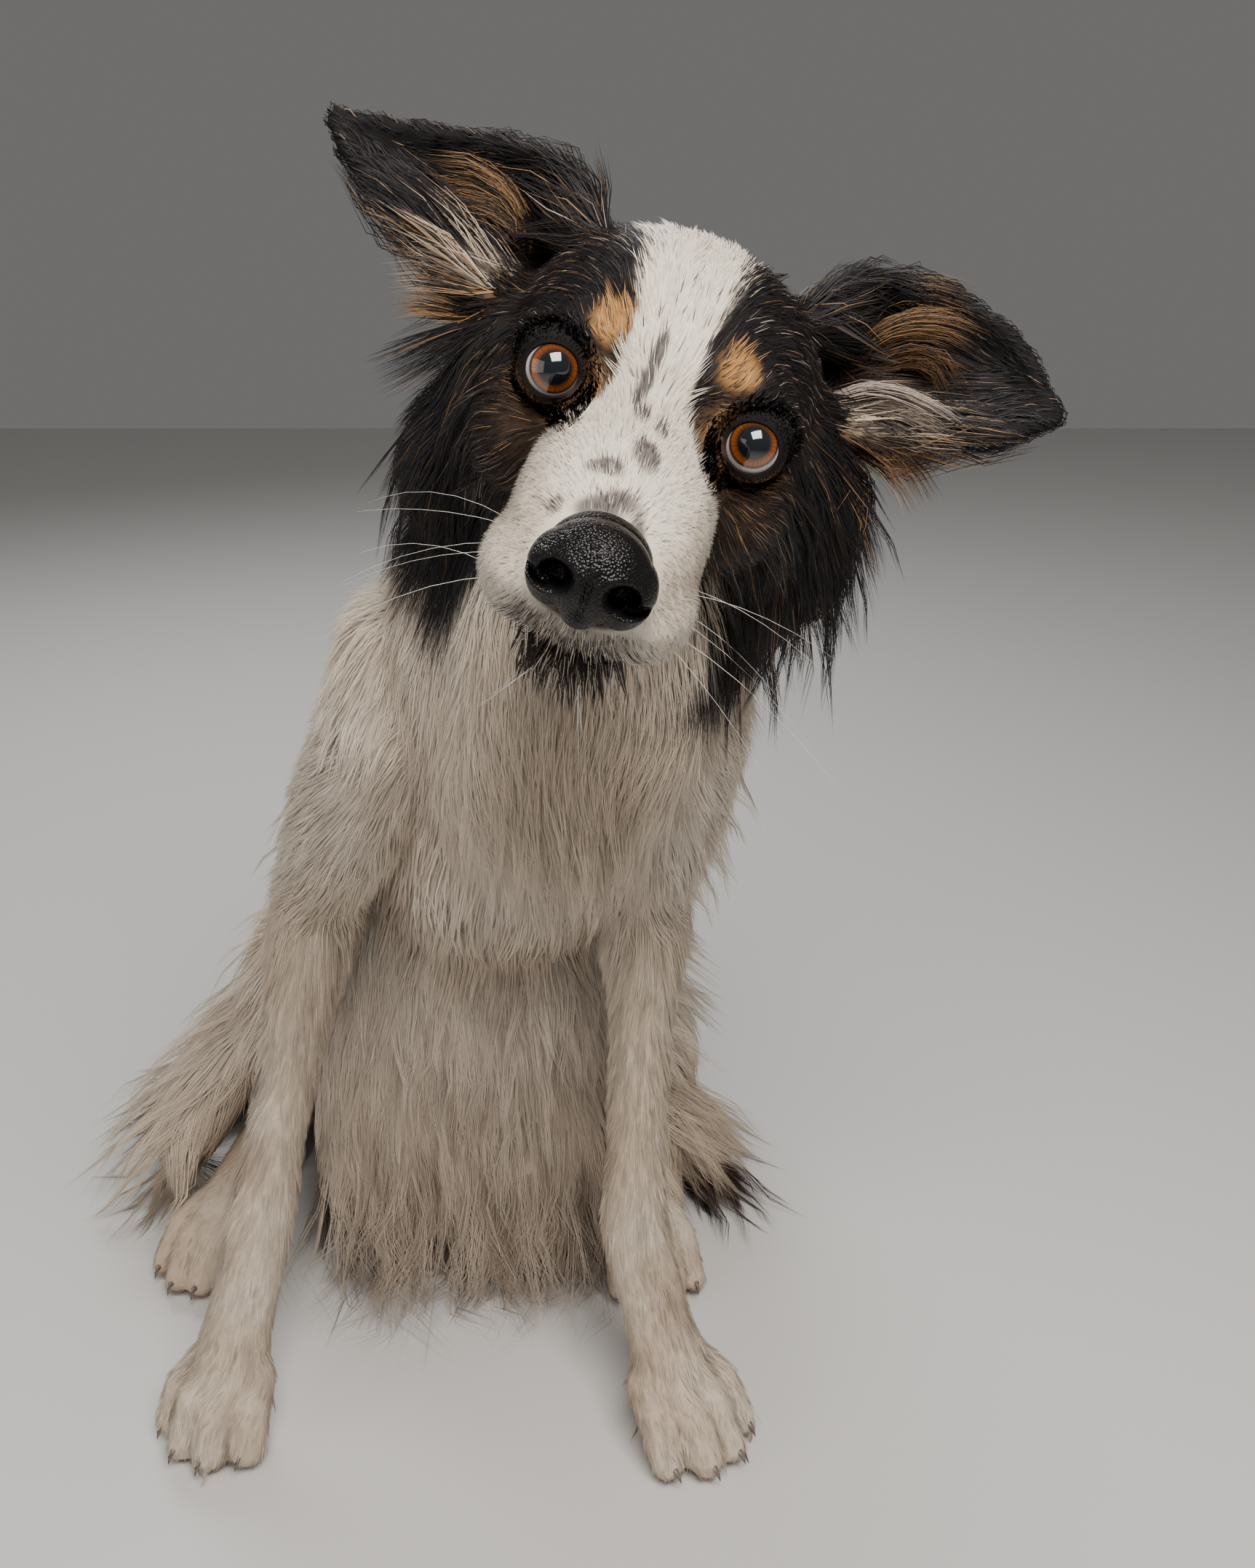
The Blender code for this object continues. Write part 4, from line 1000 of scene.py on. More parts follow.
def sizes(label_kind, p, n, share, rims):
    """Each hair's length and the height of its tip, in metres, and how close it is to the lid's edge."""
    count = len(p)
    x, f, u = heads(p)
    long = RNG.uniform(0.65, 1.12, count)
    high = RNG.uniform(0.25, 1.0, count) ** 0.8

    def scale(by_length, by_height):
        nonlocal long, high
        long, high = long * by_length, high * by_height

    if label_kind in ("skull", "cheek"):
        away = smooth(12, 34, np.minimum(*(np.hypot(*eye_local(p, g)[:2]) for g in (1, -1))))
        scale(0.42 + 0.58 * away + 0.30 * smooth(1.4, 1.7, rims), 0.6 + 0.4 * away)
    if label_kind == "skull":
        crown = smooth(-10, -80, f)
        scale(0.7 + 0.8 * crown, 0.7 + 0.8 * crown)
    if label_kind == "muzzle":
        tip = smooth(20, 85, f)
        scale(1.3 - 0.6 * tip, 1.2 - 0.5 * tip)
        low = smooth(-48, -54, u) * smooth(55, 72, f)
        scale(1 + 1.2 * low, 1 + 0.8 * low)
    if label_kind == "jaw":
        chin = smooth(55, 66, f)
        scale(1 + 0.5 * chin, 1 + 1.2 * chin)
    if label_kind == "ear":
        t, v = share[:, 0], share[:, 1]
        front = (n @ nF > -0.1) * smooth(0.62, 0.35, t)
        lock = smooth(0.46, 0.36, v) + smooth(0.46, 0.56, v) * smooth(0.98, 0.88, v)
        edge = smooth(0.12, 0.02, v) * smooth(0.75, 0.5, t)
        edge = edge + 0.8 * smooth(0.88, 0.97, v) * smooth(0.6, 0.3, t)
        scale(0.75 - 0.25 * t + 2.2 * front * lock + 0.9 * edge, 0.7 + 2.2 * front * lock + 1.6 * edge)
    if label_kind == "cheek":
        back = np.maximum(smooth(-12, -45, f), 0.8 * smooth(-26, -44, u))
        scale(1 + 1.1 * back, 1 + 0.7 * back)
    if label_kind == "hang":
        scale(1 - 0.35 * smooth(10, 34, u), 1)
        scale(np.where((x > 0) & (u < -40), 1.25, 1.0), 1)
    if label_kind == "fore":
        behind = smooth(0.2, 0.8, n[:, 1])
        top = smooth(0.32, 0.0, share[:, 0])
        scale(1 + 1.8 * behind + 1.3 * top, 1 + 3.0 * behind + 1.6 * top)
    if label_kind == "belly":
        hem = smooth(0.10, 0.03, p[:, 2])
        scale(0.65 + 0.45 * hem, 0.7 + 0.4 * hem)
    lid = np.where(rims > 0, smooth(1.7, 1.28, rims), 0)
    coat = COAT[label_kind]
    length = long * (coat.length * MM) * (1 - lid) + 0.0030 * lid
    return length, high * (coat.height * MM) * (1 - lid) + 0.0006 * lid, lid


def grow(label_kind):
    """Strands of one kind of coat: their points, widths, colours, UV and the surface's normals."""
    p, n, which, way, share, uv, rims = scatter(label_kind)
    _, _, _, width, _, k, curl, clump = COAT[label_kind]
    count = len(p)
    length, height, lid = sizes(label_kind, p, n, share, rims)
    d = flow(p, n, which, way, share)
    steps = np.linspace(0, 1, k)
    pts = np.empty((count, k, 3))
    face = np.empty((count, k, 3))
    pts[:, 0], face[:, 0] = p - n * 0.0004, n
    at, course, base = p.copy(), d.copy(), n.copy()
    wild = RNG.normal(size=(count, 3)) * (0.20 if label_kind in ("neck", "ruff", "belly", "arm") else 0.10)
    phase = phases(count)
    bend = 0.28 * nU * np.sign(0.45 - share[:, 1:2]) * col(share[:, 0] < 0.6) if label_kind == "ear" else 0
    for j in range(1, k):
        course = unit(course + (wild + bend) / k)
        at = at + course * (length / (k - 1))[:, None]
        for i in range(count):
            q, m, _, _ = skin_tree.find_nearest(at[i])
            base[i] = 0.5 * base[i] + 0.5 * np.array(m)
            at[i] = q
        base = unit(base)
        course = unit(course - (course * base).sum(1, keepdims=True) * base * 0.8)
        arch = steps[j] ** 0.8
        if label_kind == "ear":
            arch = 1.1 * math.sin(2.4 * steps[j])
        pts[:, j] = at + base * (height * arch * (1 + 0.12 * np.sin(phase)))[:, None]
        face[:, j] = base
        if k < 4:
            middle = (pts[:, j - 1] + pts[:, j]) / 2
            for i in range(count):
                q, m, _, _ = skin_tree.find_nearest(middle[i])
                gap = 0.0003 - (middle[i] - np.array(q)) @ np.array(m)
                if gap > 0:
                    pts[i, j] += 2 * gap * np.array(m)
    across = unit(np.cross(d, n))
    for j in range(1, k):
        sway = np.sin(steps[j] * 5.5 + phase) * curl * 0.10 * length * steps[j]
        pts[:, j] += across * sway[:, None]
    lead = np.sort(RNG.choice(count, max(count // (16 if label_kind == "belly" else 9), 1), replace=False))
    tree = KDTree(len(lead))
    for i, at_i in enumerate(lead):
        tree.insert(p[at_i], i)
    tree.balance()
    near = np.array([tree.find(q)[1] for q in p])
    chief = lead[near]
    for j in range(1, k):
        shift = pts[chief, j] - pts[:, j]
        far = np.linalg.norm(shift, axis=1, keepdims=True)
        pts[:, j] += shift * clump * steps[j] ** 1.3 * np.minimum(1, 0.010 / np.maximum(far, 1e-6))
    pts[:, :, 2] = np.maximum(pts[:, :, 2], FLOOR_GAP)
    rgb = markings(p, which, share, RNG.random(count))
    rgb = blend(rgb, BROWN * 0.5, 0.9 * smooth(1.36, 1.2, rims) * (rims > 0))
    lock_tone = 1 + LOCK_TONE.get(label_kind, 0.08) * RNG.normal(size=len(lead))
    tone = RNG.uniform(*((0.70, 1.12) if k == 2 else (0.84, 1.10)), count) * lock_tone[near]
    width = width * MM * RNG.uniform(0.8, 1.2, count) * (1 - 0.45 * lid)
    return pts, width, toned(rgb, tone), uv, face


def strands_mesh(name, pts, width, rgb, uv, face):
    """Three-sided tapering strands as one mesh."""
    count, k, _ = pts.shape
    t = unit(np.gradient(pts, axis=1)) if k > 2 else unit(np.repeat(pts[:, 1:] - pts[:, :1], 2, axis=1))
    e1 = unit(np.cross(t, face))
    e2 = np.cross(t, e1)
    taper = (1 - np.linspace(0, 1, k)) ** 0.6
    ring, shade = [], []
    for a in range(3):
        c, s = math.cos(2.0944 * a + 0.52), math.sin(2.0944 * a + 0.52)
        off = (e1 * c + e2 * s)[:, : k - 1]
        ring.append(pts[:, : k - 1] + off * (width[:, None] / 2 * taper[: k - 1])[:, :, None])
        shade.append(unit(0.62 * face[:, : k - 1] + 0.38 * off))
    verts = np.concatenate([np.stack(ring, 2).reshape(count, -1, 3), pts[:, -1:]], 1)
    at_tip = unit(face[:, -1:] + 0.3 * t[:, -1:])
    normals = np.concatenate([np.stack(shade, 2).reshape(count, -1, 3), at_tip], 1)
    per = verts.shape[1]
    tri = [(0, 2, 1)]
    for j in range(k - 2):
        for a in range(3):
            b = (a + 1) % 3
            lo, hi = j * 3, (j + 1) * 3
            tri += [(lo + a, lo + b, hi + b), (lo + a, hi + b, hi + a)]
    last = (k - 2) * 3
    tri += [(last + a, last + (a + 1) % 3, per - 1) for a in range(3)]
    tri = np.array(tri)
    faces = (tri[None] + (np.arange(count) * per)[:, None, None]).reshape(-1, 3)
    mesh = bpy.data.meshes.new(name)
    mesh.vertices.add(count * per)
    mesh.vertices.foreach_set("co", verts.reshape(-1).astype(np.float32))
    mesh.loops.add(len(faces) * 3)
    mesh.loops.foreach_set("vertex_index", faces.reshape(-1).astype(np.int32))
    mesh.polygons.add(len(faces))
    mesh.polygons.foreach_set("loop_start", np.arange(len(faces), dtype=np.int32) * 3)
    mesh.polygons.foreach_set("loop_total", np.full(len(faces), 3, np.int32))
    mesh.polygons.foreach_set("use_smooth", np.ones(len(faces), bool))
    mesh.update(calc_edges=True)
    mesh.normals_split_custom_set_from_vertices(normals.reshape(-1, 3).tolist())
    along_it = np.concatenate([np.repeat(np.arange(k - 1), 3), [k - 1]]) / (k - 1)
    around = np.concatenate([np.tile([0, 0.5, 1], k - 1), [0.5]])
    patch = np.stack([around, along_it], 1) * 0.003
    uvs = (uv[:, None] + patch[None]).reshape(-1, 2)
    set_uv(mesh, uvs[faces.reshape(-1)])
    fade = 0.76 + 0.32 * along_it if k == 2 else 0.86 + 0.20 * along_it
    colours = np.clip(rgb[:, None] * fade[None, :, None], 0.003, 0.97).reshape(-1, 3)
    set_colours(mesh, colours)
    return mesh


def add_coat(name, strands, numbered=True):
    """Adds strands to the scene, split into pieces that stay under the limit."""
    hairs, k, _ = strands[0].shape
    parts = math.ceil(hairs * (6 * k - 8) / PIECE_LIMIT)
    for part in range(parts):
        own = f"{name}_{part}" if numbered else name
        mesh = strands_mesh(own, *(values[part::parts] for values in strands))
        add_object(own, mesh, coat_material)


# Long locks of the ears, those of its right ear first: hairs, spread at root and tip in mm, pale colour,
# its share, and the way they take in the head's millimetres.
SILVER = np.array((0.46, 0.37, 0.31))
LOCKS = [
    (414, 8, 10, SILVER * 1.15, 0.84, (-61, -72, 9), (-73, -59, 10), (-86, -50, 10), (-98, -46, 6)),
    (270, 6, 9, TAN, 0.60, (-59, -62, 4), (-72, -54, 1), (-83, -49, 0), (-94, -46, -4)),
    (234, 7, 11, TAN, 0.06, (-56, -58, -4), (-70, -54, -12), (-82, -52, -21), (-94, -52, -31)),
    (234, 4, 9, TAN * 0.9, 0.52, (-62, -76, 24), (-68, -70, 37), (-81, -62, 42), (-97, -56, 38)),
    (180, 4, 8, TAN * 0.8, 0.50, (-62, -76, 24), (-70, -70, 32), (-83, -62, 32), (-98, -54, 24)),
    (216, 5, 8, TAN, 0.36, (-57, -78, 30), (-62, -76, 43), (-72, -70, 50), (-86, -64, 50)),
    (324, 9, 9, TAN, 0.08, (-46, -72, 37), (-51, -70, 45), (-57, -68, 52), (-62, -68, 57)),
    (414, 8, 10, SILVER, 0.84, (65, -72, 14), (74, -59, 21), (87, -49, 22), (102, -45, 19)),
    (270, 6, 10, TAN * 1.1, 0.62, (67, -64, 6), (78, -56, 9), (90, -50, 5), (101, -48, -3)),
    (270, 7, 11, TAN, 0.08, (65, -62, -4), (75, -60, -14), (86, -60, -25), (95, -62, -37)),
    (270, 4, 9, TAN * 0.85, 0.50, (63, -78, 31), (68, -66, 46), (81, -56, 53), (96, -52, 53)),
    (180, 4, 8, TAN * 0.8, 0.50, (64, -78, 27), (73, -66, 38), (84, -54, 42), (98, -48, 31)),
    (216, 5, 8, TAN, 0.40, (62, -80, 35), (62, -72, 54), (74, -64, 61), (91, -58, 62)),
    (288, 8, 9, TAN, 0.10, (54, -74, 33), (51, -72, 44), (51, -70, 54), (55, -70, 60)),
]


def ear_locks():
    """The ears' long locks, each a fan of hairs along a cubic curve, rooted in the skin."""
    points, widths, colours, places, faces = [], [], [], [], []
    steps = np.linspace(0, 1, 5)
    for count, near, far, pale, share, *guide in LOCKS:
        count = count // THIN
        curve = [np.polyfit(np.arange(4) / 3, [q[i] for q in guide], 3) for i in range(3)]
        slope = [np.polyder(c) for c in curve]
        spread = RNG.uniform(-1, 1, count) * RNG.uniform(0.5, 1, count)
        clumps = np.round(spread * 5) / 5
        depth = RNG.normal(size=count) * 0.5
        reach = RNG.uniform(0.55, 1.06, count)
        phase = phases(count)
        strand = np.empty((count, 5, 3))
        for j, step in enumerate(steps):
            s = step * reach
            x, f, u = (np.polyval(c, s) for c in curve)
            dx, _, du = (np.polyval(c, s) for c in slope)
            size = np.hypot(dx, du) + 1e-6
            wide = near + (far - near) * s
            at = (spread + (clumps - spread) * 0.55 * s) * wide + 0.7 * s * np.sin(3 * s + phase)
            x, u = x - du / size * at, u + dx / size * at
            f = f + depth * (2.5 + 2 * s) + 5 * s * (1 - s)
            strand[:, j] = from_head(x, f, u)
        for i in range(count):
            root, normal, index, _ = skin_tree.find_nearest(strand[i, 0])
            strand[i] += (np.array(root) - strand[i, 0]) * (1 - steps[:, None]) ** 1.5
            places.append(UV[TRIS[index, 0]])
            faces.append(normal)
        is_pale = col(RNG.random(count) < share)
        rgb = np.where(is_pale, pale * col(RNG.uniform(0.65, 1.15, count)), BLACK * 1.6)
        points.append(strand)
        widths.append(0.34 * MM * RNG.uniform(0.7, 1.2, count))
        colours.append(rgb)
    normals = unit(0.6 * np.repeat(np.array(faces)[:, None], 5, 1) + 0.8 * nF)
    return np.concatenate(points), np.concatenate(widths), np.concatenate(colours), np.array(places), normals


def box(low, high):
    return lambda p: ((p > np.array(low)) & (p < np.array(high))).all(1)


def patch(low, high):
    """The same in the head's millimetres."""
    return lambda p: box(low, high)(np.stack(heads(p), 1))


# Loose locks that stand off the coat's edge: part, where they root, locks, hairs in each, length
# and spread in mm, direction, how much they follow the coat's own lie, droop and curl.
LOOSE = [
    ("belly", box((-0.2, 0.05, 0.015), (0.2, 0.17, 0.080)), 144, 12, 66, 5, (0, -0.45, -1), 0.2, 0.25, 0.17),
    ("belly", box((-0.2, 0.05, 0.10), (0.2, 0.15, 0.24)), 93, 11, 66, 5, (0, -0.12, -1), 0.3, 0.1, 0.07),
    ("fringe_r", box((-0.3, 0.1, 0.0), (-0.12, 0.3, 0.2)),
     127, 12, 70, 6, (-0.75, -0.25, -0.45), 0.35, 0.25, 0.10),
    ("thigh_r", box((-0.3, 0.1, 0.08), (-0.10, 0.4, 0.25)),
     59, 10, 50, 5, (-0.6, -0.05, -0.6), 0.4, 0.2, 0.08),
    ("fringe_l", box((0.09, 0.1, 0.0), (0.3, 0.3, 0.2)), 110, 11, 54, 6, (0.85, -0.1, -0.25), 0.3, 0.2, 0.10),
    ("thigh_l", box((0.07, 0.1, 0.05), (0.3, 0.28, 0.25)), 76, 10, 50, 5, (0.85, 0.0, -0.35), 0.3, 0.2, 0.08),
    ("breech", box((-0.4, 0.1, 0.0), (-0.13, 0.5, 0.2)), 68, 11, 66, 6, (-0.6, -0.55, -0.1), 0.4, 0.15, 0.10),
    ("tail", box((0.07, 0.1, 0.0), (0.3, 0.29, 0.2)), 85, 11, 72, 6, (0.5, -0.9, -0.30), 0.2, 0.25, 0.10),
    ("ruff", box((-0.1, -0.1, 0.30), (0.2, 0.06, 0.37)), 93, 11, 46, 5, (0, -0.05, -1), 0.4, 0.1, 0.06),
    ("arm_r", box((-0.3, 0.0, 0.2), (-0.05, 0.2, 0.34)), 51, 9, 34, 4, (-0.5, 0.35, -0.7), 0.5, 0.2, 0.06),
    ("arm_l", box((0.09, 0.0, 0.2), (0.3, 0.2, 0.34)), 51, 9, 34, 4, (0.5, 0.35, -0.7), 0.5, 0.2, 0.06),
    ("hang", box((-0.3, -0.2, 0.3), (0.3, 0.2, 0.6)), 102, 11, 52, 5, (0, 0.0, -1), 0.6, 0.2, 0.06),
    ("cheek", patch((-80, -80, -70), (-33, -16, 4)), 68, 10, 30, 4, (-0.30, 0.45, -0.85), 0.45, 0.15, 0.05),
    ("cheek", patch((33, -80, -70), (80, -16, 4)), 68, 10, 30, 4, (0.30, 0.45, -0.85), 0.45, 0.15, 0.05),
    ("hang", patch((30, -60, -60), (90, -20, 10)), 51, 10, 42, 4, (0.15, 0.2, -0.9), 0.4, 0.15, 0.05),
    ("hang", patch((-90, -60, -60), (-30, -20, 10)), 51, 10, 42, 4, (-0.25, 0.2, -0.9), 0.4, 0.15, 0.05),
    ("jaw", patch((-20, 50, -90), (20, 82, -60)), 93, 8, 13, 2.4, (-0.05, 0.0, -1), 0.1, 0.1, 0.05),
    ("jaw", patch((-30, -20, -90), (30, 46, -60)), 59, 8, 20, 3, (0.05, 0.35, -0.9), 0.3, 0.1, 0.05),
    ("belly", box((-0.2, 0.05, 0.012), (0.2, 0.17, 0.060)), 170, 6, 70, 8, (0, -1.0, -0.6), 0.1, 0.3, 0.32),
    ("skull", patch((-48, -125, 18), (48, -34, 70)), 93, 8, 15, 3, (-0.06, 0.9, 0.25), 0.65, 0.1, 0.08),
    ("pawf_r", box((-0.3, -0.3, 0.004), (0.3, 0.04, 0.05)),
     39, 8, 11, 2.5, (-0.1, -0.8, -0.4), 0.8, 0.2, 0.05),
    ("pawf_l", box((-0.3, -0.3, 0.004), (0.3, 0.04, 0.05)),
     39, 8, 11, 2.5, (0.2, -0.8, -0.4), 0.8, 0.2, 0.05),
    ("barrel", box((-0.3, 0.16, 0.0), (0.3, 0.6, 0.5)), 93, 8, 44, 6, (0, 0.4, -0.7), 0.8, 0.1, 0.06),
    ("mane", box((-0.3, 0.0, 0.0), (0.3, 0.6, 0.5)), 42, 8, 44, 6, (0, 0.6, -0.6), 0.8, 0.1, 0.06),
]


def loose_locks(part, where, locks, hairs, length, spread, direction, follow, droop, curl):
    """Locks whose hairs leave the skin together and draw to a point away from it."""
    mid = P[TRIS].mean(1)
    tri = TRIS[(NAME[TRIS[:, 0]] == part) & where(mid) & (mid[:, 2] > 0.002)]
    a, b, c = P[tri[:, 0]], P[tri[:, 1]], P[tri[:, 2]]
    size = np.linalg.norm(np.cross(b - a, c - a), axis=1)
    locks = locks // THIN
    pick = tri[RNG.choice(len(tri), locks, p=size / size.sum())][:, 0]
    n = NORMAL[pick]
    lie = flow(P[pick], n, LABEL[pick], WAY[pick], SHARE[pick])
    d = follow * lie + (1 - follow) * unit(np.array(direction, float))
    d = unit(d + 0.16 * n + 0.12 * RNG.normal(size=n.shape))
    ways = np.repeat(d, hairs, 0)
    out = np.repeat(n, hairs, 0)
    side = unit(np.cross(ways, out))
    count = locks * hairs
    at = RNG.uniform(-1, 1, count)
    off = RNG.uniform(-1, 1, count)
    reach = np.repeat(RNG.uniform(0.6, 1.1, locks), hairs) * RNG.uniform(0.75, 1.0, count) * length * MM
    phase = np.repeat(phases(locks), hairs) + RNG.normal(size=count) * 0.25
    turns = np.repeat(RNG.uniform(4, 9, locks), hairs)
    root = np.repeat(P[pick], hairs, 0) + (side * col(at) + ways * col(off) * 0.8) * spread * MM
    lead = np.repeat(P[pick], hairs, 0)
    hit = [skin_tree.find_nearest(q) for q in root]
    root = np.array([h[0] for h in hit])
    steps = np.linspace(0, 1, 4)
    pts = np.empty((count, 4, 3))
    for j, s in enumerate(steps):
        centre = lead + ways * col(reach) * s + DOWN * col(reach) * droop * s * s
        centre = centre + out * col(reach) * 0.10 * s * (1.6 - s)
        wave = np.sin(turns * s + phase) * curl * reach * s
        centre = centre + side * col(wave) + out * col(0.6 * np.cos(turns * s + phase) * curl * reach * s)
        own = root + (centre - lead)
        draw = s ** 0.8 * 0.86
        pts[:, j] = own + (centre - own) * draw
    pts[:, :, 2] = np.maximum(pts[:, :, 2], FLOOR_GAP)
    rgb = markings(root, np.repeat(LABEL[pick], hairs), np.repeat(SHARE[pick], hairs, 0), RNG.random(count))
    tone = np.repeat(RNG.uniform(0.80, 1.14, locks), hairs) * RNG.uniform(0.92, 1.06, count)
    uv = UV[[TRIS[h[2], 0] for h in hit]]
    face = unit(np.repeat(out[:, None], 4, 1) + 0.25 * (pts - pts[:, :1]) / col(reach)[:, None])
    return pts, 0.40 * MM * RNG.uniform(0.7, 1.2, count), toned(rgb, tone), uv, face


coat_material = painted("coat", roughness=0.52, Specular_IOR_Level=0.24)
for kind, coat in COAT.items():
    add_coat(f"coat_{kind}", grow(kind))
groups = {}
for spec in LOOSE:
    slot = COAT[spec[0].split("_")[0]].slot
    groups.setdefault(slot, []).append(loose_locks(*spec))
for slot, made in groups.items():
    add_coat(f"coat_locks_{slot.split('_')[0]}", [np.concatenate(values) for values in zip(*made)])
add_coat("coat_ear_locks", ear_locks(), numbered=False)

skin_obj = add_object("skin", skin, skin_material)
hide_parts(*[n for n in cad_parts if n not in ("nose", "eye_left", "eye_right")])

# ------------------------------------------------------------------ camera
scene = bpy.context.scene
camera = bpy.data.cameras.new("camera")
camera.lens = 34.998
camera.sensor_width = 36
camera.clip_start = 0.01
camera_obj = bpy.data.objects.new("camera", camera)
scene.collection.objects.link(camera_obj)
camera_obj.location = Vector((0.080, -0.552, 0.578)) + Vector(SHIFT)
camera_obj.rotation_euler = (math.radians(68), 0, 0)
scene.camera = camera_obj

# ------------------------------------------------------------------ eyes
GAZE = {-1: (-0.125, 0.985, 0.115), 1: (-0.078, 0.976, 0.205)}


def make_eye(g):
    centre = from_head(np.array(g * EYE_AT), np.array(-2.0), np.array(0.0))
    out, ahead, rise = GAZE[g]
    look = unit(g * out * nL + ahead * nF + rise * nU)
    right = unit(np.cross(look, nU))
    top = np.cross(right, look)
    rings, steps = 66, 96
    theta = np.linspace(0, 1, rings) ** 1.25 * math.pi
    phi = np.arange(steps) * 2 * math.pi / steps
    th, ph = np.meshgrid(theta, phi, indexing="ij")
    iris = math.asin(7.5 / EYE_R)
    bulge = 1 + 0.075 * smooth(iris * 1.12, 0, th)
    r = EYE_R * MM * bulge
    pts = centre + (r * np.cos(th))[..., None] * look + (r * np.sin(th))[..., None] * (
        np.cos(ph)[..., None] * right + np.sin(ph)[..., None] * top)
    loops = [range(i * steps, (i + 1) * steps) for i in range(rings)]
    faces = [(a, d, c, b) for a, b, c, d in bridge(loops)]
    mesh = bpy.data.meshes.new("eye")
    mesh.from_pydata(pts.reshape(-1, 3).tolist(), [], faces)
    a = th / iris
    fibre = 0.5 + 0.25 * np.sin(ph * 37 + 3 * np.sin(ph * 5)) + 0.25 * np.sin(ph * 61 + 8 * a)
    inner, outer = np.array((0.06, 0.020, 0.008)), np.array((0.25, 0.070, 0.015))
    rgb = inner + (outer - inner) * smooth(0.58, 0.84, a)[..., None]
    # the iris's fibres, and the iris darker towards its top: painted shade of the upper lid
    rgb = rgb * (0.60 + 0.65 * fibre)[..., None] * (0.78 - 0.35 * np.sin(ph))[..., None]
    for tint, part in (((0.005, 0.007, 0.010), smooth(0.64, 0.58, a)),
                       ((0.010, 0.008, 0.012), smooth(0.88, 0.98, a)),
                       ((0.50, 0.44, 0.43), smooth(1.01, 1.08, a))):
        rgb = rgb * (1 - part[..., None]) + np.array(tint) * part[..., None]
    set_colours(mesh, rgb.reshape(-1, 3), "eye_colour")
    reach = th / math.pi * 0.48
    flat = np.stack([0.5 + reach * np.cos(ph), 0.5 + reach * np.sin(ph)], -1).reshape(-1, 2)
    set_uv(mesh, flat[corners(mesh)])
    side = "left" if g > 0 else "right"
    obj = add_object(f"eye_ball_{side}", mesh, eye_material)
    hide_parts(f"eye_{side}")


eye_material = painted("eye", "eye_colour", roughness=0.08, Coat_Weight=1.0, Coat_Roughness=0.02)
for g in (1, -1):
    make_eye(g)


# ------------------------------------------------------------------ nose, whiskers and claws
def make_nose():
    bm = bmesh.new()
    for x, f, u, radii in ((0, 96, -32.5, (15.5, 12.5, 13.5)), (9.5, 95, -35, (8.4, 10.5, 10.5)),
                           (-9.5, 95, -35, (8.4, 10.5, 10.5)), (0, 94, -43.5, (6, 9, 5.5)),
                           (0, 86, -32, (15, 10, 13))):
        add_ball(bm, x, f, u, radii)
    mesh = fused(bm, 0.0006, 4)
    p = points_of(mesh)
    x, f, u = heads(p)
    ax = np.abs(x)
    front = smooth(96, 100, f)
    hole = np.hypot((ax - 9.2) / 5.0, (u + 35.2) / 4.1)
    slit = np.hypot((ax - 13.8) / 5.0, (u + 37.8 - 0.25 * (ax - 13)) / 2.1)
    deep = np.maximum(smooth(1.15, 0.4, hole), 0.8 * smooth(1.15, 0.4, slit)) * smooth(88, 95, f)
    f = f - 7.5 * deep
    rim = np.exp(-(((hole - 1.35) / 0.3) ** 2)) * front
    f = f + 0.4 * rim
    f = f - 1.6 * np.exp(-((x / 1.0) ** 2)) * smooth(98, 103, f) * smooth(-30, -36, u)
    put_points(mesh, from_head(x, f, u))
    # the nostrils' insides are nearly black: painted shade in the holes
    rgb = np.array((0.0050, 0.0042, 0.0045)) * col(1 - 0.97 * smooth(0.15, 0.7, deep))
    set_colours(mesh, rgb, "nose_colour")
    a = np.arctan2(x, u - NOSE_AT) / FULL_TURN + 0.5
    b = (f - f.min()) / np.ptp(f)
    set_uv(mesh, np.stack([0.02 + 0.96 * a, 0.02 + 0.96 * b], 1)[corners(mesh)])
    obj = add_object("nose_leather", mesh, nose_material)
    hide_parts("nose")


nose_material = painted("nose_leather", "nose_colour", roughness=0.24, Specular_IOR_Level=0.22)
add_bump(nose_material, 1300, 0.55, 0.0006, pebbled=True)
make_nose()


def tapered(name, curves, radius, material, slot):
    """Thin round hairs or claws along the curves, as one mesh."""
    bm = bmesh.new()
    for pts, r in zip(curves, radius):
        k = len(pts)
        rings = []
        for i, q in enumerate(pts[:-1]):
            a = (Vector(pts[i + 1]) - Vector(q)).normalized()
            x = a.orthogonal().normalized()
            y = a.cross(x)
            size = r * (1 - i / (k - 1)) ** 0.55
            ring = [x * math.cos(1.0472 * j) + y * math.sin(1.0472 * j) for j in range(6)]
            rings.append([bm.verts.new(Vector(q) + off * size) for off in ring])
        tip = bm.verts.new(Vector(pts[-1]))
        for quad in bridge(rings):
            bm.faces.new(quad)
        for j in range(6):
            bm.faces.new((rings[-1][j], rings[-1][(j + 1) % 6], tip))
        bm.faces.new(rings[0][::-1])
    mesh = bpy.data.meshes.new(name)
    bm.to_mesh(mesh)
    bm.free()
    p = points_of(mesh)
    lo, size = p.min(0), np.ptp(p, axis=0)
    set_uv(mesh, (0.02 + 0.96 * ((p - lo) / size)[:, [0, 2]])[corners(mesh)])
    add_object(name, mesh, material)


